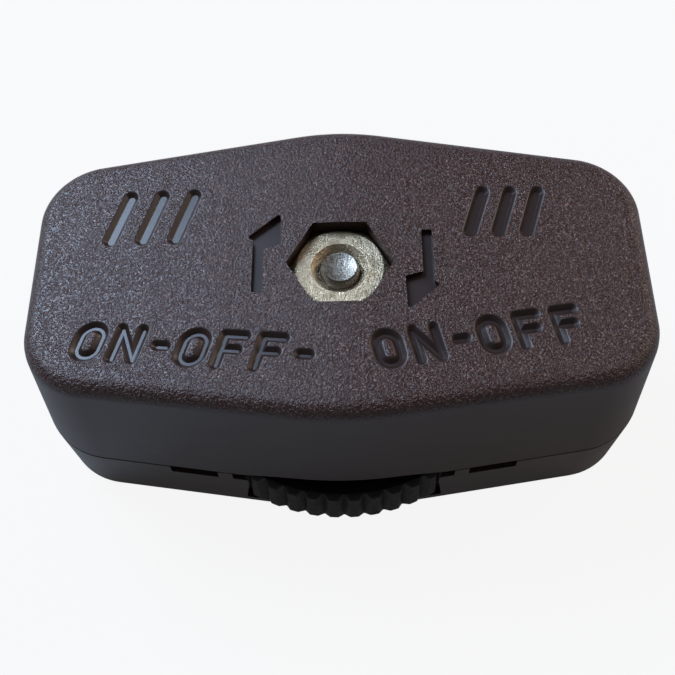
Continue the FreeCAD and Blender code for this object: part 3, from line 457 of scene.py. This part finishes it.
@dataclass(frozen=True)
class StudioPaper:
    """Pale paper of the studio, which looks nearly white to the camera and in metal."""

    name: str = "studio_paper"
    dark: Triple = (0.49, 0.49, 0.49)
    light: Triple = (0.51, 0.51, 0.51)
    glow: float = 0.9
    mirrored: float = 0.12
    tooth: Pattern = Pattern(0.5, 3.0, 0.6)
    rough: float = 0.9
    shine: float = 0.1
    relief: float = 0.1
    depth: float = 0.05

    def build(self) -> bpy.types.Material:
        """Makes the material."""
        bench = MaterialBench(self.name)
        tooth = bench.noise(bench.place(), self.tooth)
        bench.set(Base_Color=bench.blend(tooth, self.dark, self.light), Roughness=self.rough,
                  Specular_IOR_Level=self.shine, Normal=bench.bump(tooth, self.relief, self.depth))
        white = bench.node("ShaderNodeEmission", None, {"Color": WHITE, "Strength": 1.0})
        seen, glossy, through = (bench.node("ShaderNodeLightPath", output=f"Is {kind} Ray")
                                 for kind in ("Camera", "Glossy", "Transmission"))
        share = (seen * self.glow).at_least(glossy.at_least(through) * self.mirrored)
        bench.finish(bench.node("ShaderNodeMixShader", None, {0: share, 1: bench.shader, 2: white}))
        return bench.material


class Stock(Enum):
    """Finishes that the pieces are made of."""

    BROWN = BrownMoulding()
    BLACK = BlackMoulding()
    PLATED = Metal("zinc_plated_nut", (0.42, 0.355, 0.25), (0.25, 0.2, 0.125), 0.22, 0.65)
    SCREW = Metal("turned_screw", (0.34, 0.31, 0.27), (0.2, 0.18, 0.15), 0.17, 0.22)
    SPRING = Metal("rolled_spring_sheet", (0.38, 0.4, 0.43), (0.2, 0.2, 0.22), 0.2, 0.25)
    BRASS = Metal("rolled_brass", (0.78, 0.55, 0.22), (0.5, 0.3, 0.12), 0.19, 0.3)
    SILVER = Metal("silver_button", (0.85, 0.84, 0.8), (0.55, 0.53, 0.5), 0.16, 0.2)
    FIBRE = Fibre()
    PAPER = StudioPaper()

    def material(self) -> bpy.types.Material:
        """The finish's material, made at its first use."""
        found = bpy.data.materials.get(self.value.name)
        return found or self.value.build()


def dress(piece: bpy.types.Object, stock: Stock) -> None:
    """Puts one finish on a whole piece."""
    piece.data.materials.clear()
    piece.data.materials.append(stock.material())
    for face in piece.data.polygons:
        face.material_index = 0


# Modelling helpers

def new_object(name: str, data: bpy.types.ID) -> bpy.types.Object:
    """Adds an object with its data to the scene."""
    made = bpy.data.objects.new(name, data)
    bpy.context.scene.collection.objects.link(made)
    return made


def pick_only(piece: bpy.types.Object) -> None:
    """Selects one object and makes it active."""
    bpy.ops.object.select_all(action="DESELECT")
    piece.select_set(True)
    bpy.context.view_layer.objects.active = piece


@contextmanager
def editing(piece: bpy.types.Object) -> Iterator[None]:
    """Picks one object and holds it in edit mode."""
    pick_only(piece)
    bpy.ops.object.mode_set(mode="EDIT")
    yield
    bpy.ops.object.mode_set(mode="OBJECT")


def settle(piece: bpy.types.Object) -> None:
    """Moves an object's place into its mesh."""
    pick_only(piece)
    bpy.ops.object.transform_apply(location=True, rotation=True, scale=True)


def finish_modifiers(piece: bpy.types.Object) -> None:
    """Applies every modifier of a piece."""
    pick_only(piece)
    for modifier in list(piece.modifiers):
        bpy.ops.object.modifier_apply(modifier=modifier.name)


def merge_points() -> None:
    """In edit mode, selects everything and makes points that lie together one."""
    bpy.ops.mesh.select_all(action="SELECT")
    bpy.ops.mesh.remove_doubles(threshold=MERGE * MM)


def copied_node(node: str, name: str) -> bpy.types.Object:
    """New piece with the merged mesh of a CAD node.

    Args:
        node: the CAD node.
        name: the new piece's name.

    Returns:
        The piece, at the origin, which replaces the node.
    """
    piece = new_object(name, frame["nodes"][node].data.copy())
    pick_only(piece)
    if piece.data.has_custom_normals:
        bpy.ops.mesh.customdata_custom_splitnormals_clear()
    with editing(piece):
        merge_points()
        bpy.ops.mesh.dissolve_limited(angle_limit=math.radians(FLAT_ANGLE))
    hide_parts(node)
    return piece


def finish_shading(piece: bpy.types.Object, angle: float = SMOOTH_ANGLE) -> None:
    """Shades a piece smooth apart from its sharp edges, with its flat faces kept flat.

    Args:
        piece: the piece.
        angle: the smallest angle of a sharp edge, in degrees.
    """
    pick_only(piece)
    bpy.ops.object.shade_smooth_by_angle(angle=math.radians(angle))
    weighted = piece.modifiers.new("flat_faces", "WEIGHTED_NORMAL")
    weighted.keep_sharp = True
    weighted.weight = FACE_WEIGHT
    finish_modifiers(piece)


def select_points(piece: bpy.types.Object, chosen: PlaceTest) -> None:
    """In edit mode, selects the points for which a test holds; places are in millimetres."""
    bpy.ops.mesh.select_all(action="DESELECT")
    bpy.ops.object.mode_set(mode="OBJECT")
    for point in piece.data.vertices:
        point.select = chosen(point.co / MM)
    bpy.ops.object.mode_set(mode="EDIT")


def select_sharp_edges(piece: bpy.types.Object, least: float, chosen: PlaceTest) -> int:
    """In edit mode, selects the sharp edges for whose two ends a test holds.

    Args:
        piece: the piece.
        least: the smallest angle between an edge's two faces, in degrees.
        chosen: the test on an end, in millimetres.

    Returns:
        How many edges are selected.
    """
    bpy.ops.mesh.select_mode(type="EDGE")
    bpy.ops.mesh.select_all(action="DESELECT")
    bpy.ops.object.mode_set(mode="OBJECT")
    mesh = piece.data
    normals: dict[tuple[int, int], list[Vector]] = {}
    for face in mesh.polygons:
        for key in face.edge_keys:
            normals.setdefault(key, []).append(face.normal)
    count = 0
    for edge in mesh.edges:
        sides = normals.get(tuple(sorted(edge.vertices)), [])
        sharp = len(sides) == 2 and sides[0].angle(sides[1], 0.0) > math.radians(least)
        edge.select = sharp and all(chosen(mesh.vertices[index].co / MM) for index in edge.vertices)
        count += edge.select
    bpy.ops.object.mode_set(mode="EDIT")
    return count


def soften(piece: bpy.types.Object, width: float, least: float, chosen: PlaceTest) -> None:
    """Rounds the sharp edges for whose two ends a test holds.

    Args:
        piece: the piece.
        width: the width of the rounding in millimetres.
        least: the smallest angle of an edge that counts as sharp, in degrees.
        chosen: the test on an end, in millimetres.
    """
    with editing(piece):
        count = select_sharp_edges(piece, least, chosen)
        if count:
            bpy.ops.mesh.bevel(offset=width * MM, segments=2, profile=0.5, clamp_overlap=True)
        bpy.ops.mesh.select_mode(type="VERT")
    log.info("%s: %d edges rounded", piece.name, count)


def line_through(name: str, points: Sequence[Vector], closed: bool = False) -> bpy.types.Object:
    """Line that a form is swept from.

    Args:
        name: the form's name.
        points: the line's points in millimetres.
        closed: whether the last point joins the first.

    Returns:
        The line as an object.
    """
    count = len(points)
    edges = [(index, (index + 1) % count) for index in range(count if closed else count - 1)]
    mesh = bpy.data.meshes.new(name)
    mesh.from_pydata([point * MM for point in points], edges, [])
    return new_object(name, mesh)


def spun(name: str, outline: Sequence[Pair], steps: int, middle: float = 0.0) -> bpy.types.Object:
    """Closed form spun round the upright axis.

    Args:
        name: the form's name.
        outline: pairs of distance from the axis and height, in millimetres.
        steps: faces round the form.
        middle: distance from the axis to which the outline's distances are added.

    Returns:
        The form as an object; no point lies on its X or Y axis apart from the poles.
    """
    half_step = math.pi / steps
    along = Vector((math.cos(half_step), math.sin(half_step), 0.0))
    points = [along * (middle + out) + Vector((0, 0, height)) for out, height in outline]
    piece = line_through(name, points, middle > 0.0)
    with editing(piece):
        bpy.ops.mesh.select_all(action="SELECT")
        bpy.ops.mesh.spin(steps=steps, angle=2 * math.pi, center=(0, 0, 0), axis=(0, 0, 1))
        merge_points()
        bpy.ops.mesh.normals_make_consistent(inside=False)
    return piece


# Camera, light and floor

@dataclass(frozen=True)
class Lamp:
    """Square soft lamp, with its place and side in millimetres and its power in watts."""

    name: str
    place: Triple
    size: float
    power: float
    colour: Triple

    def build(self, aim: Vector) -> None:
        """Hangs the lamp and points it at a place in metres."""
        data = bpy.data.lights.new(self.name, "AREA")
        data.shape = "SQUARE"
        data.size = self.size * MM
        data.energy = self.power
        data.color = self.colour
        lamp = new_object(self.name, data)
        spot = Vector(self.place) * MM
        lamp.location = spot
        lamp.rotation_mode = "QUATERNION"
        lamp.rotation_quaternion = (spot - aim).to_track_quat("Z", "Y")


@dataclass
class Studio:
    """Camera at the photograph's angle, soft lamps and a pale floor.

    Lengths are in millimetres, angles in degrees, and focal and picture in pixels. A cool window
    with a dim panel beside it lights the switch from the far left, and a warm lamp from the far
    right.
    """

    eye: Triple = (0.52, -50.34, 97.93)
    turn: float = 1.07
    height: float = 60.97
    roll: float = -1.87
    focal: float = 1054.1
    picture: float = 675.0
    sensor: float = 36.0
    nearest: float = 2.0
    farthest: float = 20000.0
    lamps: tuple[Lamp, ...] = (
        Lamp("window", (-395.0, 350.0, 455.0), 430.0, 5.2, (0.66, 0.79, 1.0)),
        Lamp("left_panel", (-260.0, 300.0, 515.0), 220.0, 1.4, (0.46, 0.68, 1.0)),
        Lamp("side_lamp", (520.0, 280.0, 330.0), 300.0, 1.6, (1.0, 0.82, 0.70)))
    aim_height: float = 10.0
    room_light: float = 0.14
    room_colour: Triple = (1.0, 0.98, 0.97)
    floor_size: float = 3000.0
    floor_gap: float = 0.02

    def make_camera(self) -> None:
        """Camera that sees the object as the photograph does."""
        data = bpy.data.cameras.new("camera")
        data.sensor_width = self.sensor
        data.lens = self.focal / self.picture * self.sensor
        data.clip_start = self.nearest * MM
        data.clip_end = self.farthest * MM
        turn, height, roll = (math.radians(angle) for angle in (self.turn, self.height, self.roll))
        back = Vector((math.sin(turn) * math.cos(height), -math.cos(turn) * math.cos(height),
                       math.sin(height)))
        right = Vector((0, 0, 1)).cross(back).normalized()
        up = back.cross(right)
        tilted_right = right * math.cos(roll) + up * math.sin(roll)
        tilted_up = up * math.cos(roll) - right * math.sin(roll)
        camera = new_object("camera", data)
        camera.matrix_world = Matrix.Translation(Vector(self.eye) * MM) @ Matrix(
            (tilted_right, tilted_up, back)).transposed().to_4x4()
        bpy.context.scene.camera = camera

    def make_lamps(self) -> None:
        """Hangs every lamp and points it at the switch."""
        for lamp in self.lamps:
            lamp.build(Vector((0, 0, self.aim_height * MM)))

    def make_world(self) -> None:
        """Plain pale surroundings, white where the camera sees them."""
        world = bpy.data.worlds.new("studio")
        bpy.context.scene.world = world
        bench = Bench(world, "ShaderNodeOutputWorld")
        seen = bench.node("ShaderNodeLightPath", output="Is Camera Ray")
        room = bench.node("ShaderNodeBackground", None,
                          {"Color": self.room_colour, "Strength": self.room_light})
        white = bench.node("ShaderNodeBackground", None, {"Color": WHITE, "Strength": 1.0})
        bench.finish(bench.node("ShaderNodeMixShader", None, {0: seen, 1: room, 2: white}))

    def make_floor(self) -> None:
        """Large sheet of paper under the switch."""
        bpy.ops.object.select_all(action="DESELECT")
        bpy.ops.mesh.primitive_plane_add(size=self.floor_size * MM, location=(0, 0, -self.floor_gap * MM))
        floor = bpy.context.object
        floor.name = "floor"
        settle(floor)
        dress(floor, Stock.PAPER)

    def build(self) -> None:
        """Sets up the whole studio."""
        scene = bpy.context.scene
        scene.view_settings.view_transform = "Standard"
        self.make_camera()
        self.make_lamps()
        self.make_world()
        self.make_floor()


# Strokes sunk in the roof

@dataclass
class StrokeCutter:
    """Tool that sinks round-ended strokes: a flat floor, sloped walls and a soft lip; in millimetres.

    The foot is the rounding between floor and wall, the brow is where the wall starts to turn over,
    and over_lip lists how far past the lip the tool rises, and to which height.
    """

    floor: float = 0.13
    lip: float = 0.5
    depth: float = 0.42
    foot_out: float = 0.05
    foot_up: float = 0.04
    brow_drop: float = 0.05
    lip_drop: float = 0.012
    over_lip: tuple[Pair, ...] = ((0.08, 0.005), (0.2, 0.05))
    top: float = 0.5
    steps: int = 20
    tools: bpy.types.Collection = field(default_factory=lambda: bpy.data.collections.new("stroke_tools"))

    def outline(self) -> list[Pair]:
        """Section of half a stroke: distance from its middle line and height over the roof."""
        slope = (self.lip - self.floor) / self.depth
        sunk = [(0.0, -self.depth), (self.floor, -self.depth),
                (self.floor + self.foot_out, -self.depth + self.foot_up),
                (self.lip - slope * self.brow_drop, -self.brow_drop), (self.lip, -self.lip_drop)]
        risen = [(self.lip + out, height) for out, height in self.over_lip]
        return sunk + risen + [(risen[-1][0], self.top), (0.0, self.top)]

    def keep(self, tool: bpy.types.Object, spot: Matrix) -> None:
        """Puts a tool at its place on the roof and among the tools."""
        tool.matrix_world = spot
        settle(tool)
        for holder in list(tool.users_collection):
            holder.objects.unlink(tool)
        self.tools.objects.link(tool)

    def stroke(self, start: Pair, stop: Pair, spot: Matrix) -> None:
        """Straight stroke.

        Args:
            start: one end of its middle line.
            stop: the other end.
            spot: the place of the legend's own frame on the roof.
        """
        run = Vector(stop) - Vector(start)
        tool = spun("stroke", self.outline(), self.steps)
        with editing(tool):
            select_points(tool, lambda place: place.x > MERGE)
            bpy.ops.transform.translate(value=(run.length * MM, 0, 0))
        turn = Matrix.Rotation(math.atan2(run.y, run.x), 4, "Z")
        self.keep(tool, spot @ Matrix.Translation(Vector((*start, 0.0)) * MM) @ turn)

    def ring(self, middle: Pair, radius: float, straight: float, slant: float, spot: Matrix) -> None:
        """Closed stroke with round ends, standing upright and slanted.

        Args:
            middle: the ring's middle.
            radius: half the width of its middle line.
            straight: length of its straight sides.
            slant: how far it leans for each unit of height.
            spot: the place of the legend's own frame on the roof.
        """
        half = self.outline()[1:-1]
        section = [(-out, height) for out, height in half] + half[::-1]
        tool = spun("ring", section, self.steps * 2, radius)
        with editing(tool):
            for side in (-1, 1):
                select_points(tool, lambda place: place.y * side > MERGE)
                bpy.ops.transform.translate(value=(0, side * straight / 2 * MM, 0))
        lean = Matrix.Identity(4)
        lean[0][1] = slant
        tool.data.transform(lean)
        self.keep(tool, spot @ Matrix.Translation(Vector((*middle, 0.0)) * MM))


@dataclass
class Legend:
    """Words in round strokes on one half of the roof; sizes in millimetres, angles in degrees.

    The arms are those of an F, with their lengths as shares of a letter's width and the lower
    one's level as a share of its height; the ends and level of a dash are given likewise.
    """

    words: str
    start: Pair
    slope: float
    slant: float
    height: float = 2.85
    width: float = 1.8
    letter_pitch: float = 3.28
    dash_pitch: float = 2.35
    arms: Pair = (0.92, 0.76)
    lower_arm_level: float = 0.52
    dash_ends: Pair = (0.1, 0.5)
    dash_level: float = 0.5

    def glyph(self, letter: str) -> list[tuple[Pair, Pair]]:
        """Straight strokes of a letter; none for one that is a ring."""
        wide, high = self.width, self.height
        foot, top, far_foot, far_top = (0.0, 0.0), (0.0, high), (wide, 0.0), (wide, high)
        upper, lower = (share * wide for share in self.arms)
        middle, dash = self.lower_arm_level * high, self.dash_level * high
        left, right = (share * wide for share in self.dash_ends)
        return {
            "O": [],
            "N": [(foot, top), (top, far_foot), (far_foot, far_top)],
            "F": [(foot, top), (top, (upper, high)), ((0.0, middle), (lower, middle))],
            "-": [((left, dash), (right, dash))]}[letter]

    def sink(self, cutter: StrokeCutter, roof: Roof) -> None:
        """Adds the tools of every stroke."""
        spot = roof.frame_at(self.start, self.slope)
        lean = math.tan(math.radians(self.slant))
        along = 0.0
        for letter in self.words:
            for pair in self.glyph(letter):
                start, stop = ((along + x + lean * y, y) for x, y in pair)
                cutter.stroke(start, stop, spot)
            if letter == "O":
                middle = (along + self.width / 2 + lean * self.height / 2, self.height / 2)
                cutter.ring(middle, self.width / 2, self.height - self.width, lean, spot)
            along += self.dash_pitch if letter == "-" else self.letter_pitch


@dataclass
class Bars:
    """Plain slanted bars that fill one field of the roof, in millimetres and degrees."""

    middle: Pair
    length: float
    spacing: float
    slant: float
    count: int = 3

    def sink(self, cutter: StrokeCutter, roof: Roof) -> None:
        """Adds the tools of the bars."""
        spot = roof.frame_at(self.middle, 0.0)
        half = self.length / 2
        lean = math.tan(math.radians(self.slant))
        for index in range(self.count):
            along = (index - (self.count - 1) / 2) * self.spacing
            cutter.stroke((along - half * lean, -half), (along + half * lean, half), spot)


# Sub-assemblies

@dataclass
class Casing:
    """The two moulded shells; sizes in millimetres, angles in degrees.

    The recess fields bound the roof's recesses, and the window fields the edges outside the wheel's
    windows and the notches beside them.
    """

    roof: Roof = Roof()
    text_cutter: StrokeCutter = field(default_factory=StrokeCutter)
    bar_cutter: StrokeCutter = field(default_factory=lambda: StrokeCutter(floor=0.3, lip=0.66))
    legends: tuple[Legend, ...] = (
        Legend("ON-OFF-", (-22.6, -8.5), -5.9, 11.0),
        Legend("ON-OFF", (3.4, -10.2), 8.8, -4.0))
    bars: tuple[Bars, ...] = (
        Bars((-16.8, 5.35), 4.6, 2.9, 18.0),
        Bars((14.8, 5.35), 4.2, 2.5, 18.0))
    recess_reach: float = 10.0
    recess_half_width: float = 6.0
    recess_drop: float = 0.5
    window_reach: float = 16.6
    window_out: float = 12.2
    window_foot: float = 2.0
    edge_width: float = 0.09
    sharp_angle: float = 50.0

    def build_upper(self) -> bpy.types.Object:
        """Upper shell with its legend sunk in the roof."""
        shell = copied_node("upper_shell", "roofed_shell")
        for cutter, marks in ((self.text_cutter, self.legends), (self.bar_cutter, self.bars)):
            for mark in marks:
                mark.sink(cutter, self.roof)
            self.cut(shell, cutter)

        def on_recess(end: Vector) -> bool:
            """Whether an edge's end lies on a recess's rim."""
            return abs(end.x) < self.recess_reach and abs(end.y) < self.recess_half_width \
                and end.z > self.roof.level - self.recess_drop

        soften(shell, self.edge_width, self.sharp_angle, on_recess)
        return shell

    def cut(self, shell: bpy.types.Object, cutter: StrokeCutter) -> None:
        """Cuts every tool of a cutter out of the shell and clears the tools away."""
        modifier = shell.modifiers.new("strokes", "BOOLEAN")
        modifier.operand_type = "COLLECTION"
        modifier.collection = cutter.tools
        modifier.operation = "DIFFERENCE"
        modifier.solver = "MANIFOLD"
        before = len(shell.data.polygons)
        finish_modifiers(shell)
        for tool in list(cutter.tools.objects):
            bpy.data.objects.remove(tool)
        log.info("strokes sunk: %d faces from %d", len(shell.data.polygons), before)

    def build_lower(self) -> bpy.types.Object:
        """Lower shell with soft edges at its windows and notches."""
        shell = copied_node("lower_shell", "based_shell")

        def outside(end: Vector) -> bool:
            """Whether an edge's end lies outside at the windows."""
            return abs(end.y) > self.window_out and abs(end.x) < self.window_reach \
                and end.z > self.window_foot

        soften(shell, self.edge_width, self.sharp_angle, outside)
        return shell

    def build(self) -> None:
        """Builds and dresses both shells."""
        for shell in (self.build_upper(), self.build_lower()):
            finish_shading(shell)
            dress(shell, Stock.BROWN)
            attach(shell, "case")
            log.info("%s: %d faces", shell.name, len(shell.data.polygons))


@dataclass
class Knob:
    """The black wheel with its ribbed rim; sizes in millimetres, angles in degrees."""

    edge_width: float = 0.07
    sharp_angle: float = 25.0
    rim_inside: float = 15.0

    def build(self) -> None:
        """Builds and dresses the wheel."""
        wheel = copied_node("thumbwheel", "ribbed_wheel")
        soften(wheel, self.edge_width, self.sharp_angle,
               lambda end: math.hypot(end.x, end.y) > self.rim_inside)
        finish_shading(wheel)
        dress(wheel, Stock.BLACK)
        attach(wheel, "wheel")
        log.info("%s: %d faces", wheel.name, len(wheel.data.polygons))


@dataclass
class Clamp:
    """The hex nut and the screw that hold the shells together; sizes in millimetres, angles in degrees.

    The tip's section lists pairs of radius and height, measured from the screw's end.
    """

    screw_radius: float = 1.75
    thread_pitch: float = 0.794
    thread_depth: float = 0.36
    thread_crest: float = 0.1
    spare_turns: int = 2
    steps: int = 48
    tip_section: tuple[Pair, ...] = (
        (1.75, -0.46), (1.51, -0.03), (1.47, 0.0), (1.4, -0.008), (1.15, -0.055), (0.8, -0.1),
        (0.4, -0.125), (0.0, -0.133))
    head_top: float = 2.35
    neck_overlap: float = 0.2
    trim: float = 0.1
    nut_edge: float = 0.06
    nut_sharp_angle: float = 25.0
    nut_smooth_angle: float = 30.0

    def build_nut(self) -> None:
        """Nut with soft edges."""
        nut = copied_node("hex_nut", "plated_nut")
        soften(nut, self.nut_edge, self.nut_sharp_angle, lambda end: True)
        finish_shading(nut, self.nut_smooth_angle)
        dress(nut, Stock.PLATED)
        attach(nut, "case")
        log.info("%s: %d faces", nut.name, len(nut.data.polygons))

    def cut_off(self, level: float, way: int) -> None:
        """In edit mode, cuts the piece level and closes the cut.

        Args:
            level: height of the cut in millimetres.
            way: 1 clears what is above it, -1 what is below.
        """
        bpy.ops.mesh.select_all(action="SELECT")
        bpy.ops.mesh.bisect(plane_co=(0, 0, level * MM), plane_no=(0, 0, way), use_fill=True,
                            clear_outer=True, threshold=CUT_MERGE * MM)

    def make_rod(self, low: float, high: float) -> bpy.types.Object:
        """Threaded rod with flat ends.

        Args:
            low: level of its lower end.
            high: level of its upper end.

        Returns:
            The rod as a closed form.
        """
        root, crest, pitch = self.screw_radius - self.thread_depth, self.screw_radius, self.thread_pitch
        rise = (pitch - self.thread_crest) / 2
        start = low - self.spare_turns * pitch
        section = [(root, start), (crest, start + rise), (crest, start + rise + self.thread_crest),
                   (root, start + pitch)]
        rod = line_through("rod", [Vector((out, 0, height)) for out, height in section])
        thread = rod.modifiers.new("thread", "SCREW")
        thread.axis = "Z"
        thread.screw_offset = pitch * MM
        thread.iterations = math.ceil((high - low) / pitch) + 2 * self.spare_turns
        thread.steps = thread.render_steps = self.steps
        finish_modifiers(rod)
        with editing(rod):
            merge_points()
            for level, way in ((low, -1), (high, 1)):
                self.cut_off(level, way)
            bpy.ops.mesh.select_all(action="SELECT")
            bpy.ops.mesh.normals_make_consistent(inside=False)
        return rod

    def join(self, piece: bpy.types.Object, other: bpy.types.Object, operation: str) -> None:
        """Joins or cuts a piece with another form, which is used up."""
        modifier = piece.modifiers.new("joined", "BOOLEAN")
        modifier.object = other
        modifier.operation = operation
        modifier.solver = "EXACT"
        finish_modifiers(piece)
        bpy.data.objects.remove(other)

    def build_screw(self) -> None:
        """Screw with a real thread from its head to its tip."""
        screw = copied_node("clamp_screw", "threaded_screw")
        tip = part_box("clamp_screw")[1][2] / MM
        with editing(screw):
            self.cut_off(self.head_top + self.neck_overlap, 1)
        rod = self.make_rod(self.head_top - self.neck_overlap, tip + self.trim)
        wide = self.screw_radius + self.trim
        shoulder = [(0.0, 0.0), (wide, 0.0), (wide, tip + self.tip_section[0][1])]
        end = [(out, tip + rise) for out, rise in self.tip_section]
        self.join(rod, spun("envelope", shoulder + end, self.steps), "INTERSECT")
        self.join(screw, rod, "UNION")
        finish_shading(screw)
        dress(screw, Stock.SCREW)
        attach(screw, "case")
        log.info("%s: %d faces", screw.name, len(screw.data.polygons))

    def build(self) -> None:
        """Builds and dresses the nut and the screw."""
        self.build_nut()
        self.build_screw()


@dataclass
class InnerWorks:
    """Every CAD node with its finish; those that no new piece replaces are shown as they are."""

    finishes: dict[str, Stock] = field(default_factory=lambda: {
        "lower_shell": Stock.BROWN, "upper_shell": Stock.BROWN, "thumbwheel": Stock.BLACK,
        "hex_nut": Stock.PLATED, "clamp_screw": Stock.SCREW, "bridge_contact": Stock.BRASS,
        "bridge_rivet": Stock.BRASS, "bridge_tip": Stock.SILVER, "contact_rivet": Stock.BRASS,
        "contact_tip": Stock.SILVER, "contact_left": Stock.BRASS, "contact_right": Stock.BRASS,
        "pin": Stock.BRASS, "detent_spring": Stock.SPRING, "detent_rivet": Stock.BRASS,
        "spring_washer": Stock.SPRING, "insulator_disc": Stock.FIBRE})

    def build(self) -> None:
        """Dresses every CAD node by the start of its name."""
        for name, node in frame["nodes"].items():
            start = max((key for key in self.finishes if name.startswith(key)), key=len)
            dress(node, self.finishes[start])
            log.info("%s is %s", name, self.finishes[start].value.name)


def main() -> None:
    """Builds the studio and the switch, piece by piece."""
    logging.basicConfig(level=logging.INFO)
    Studio().build()
    Casing().build()
    Knob().build()
    Clamp().build()
    InnerWorks().build()


if __name__ == "__main__":
    main()
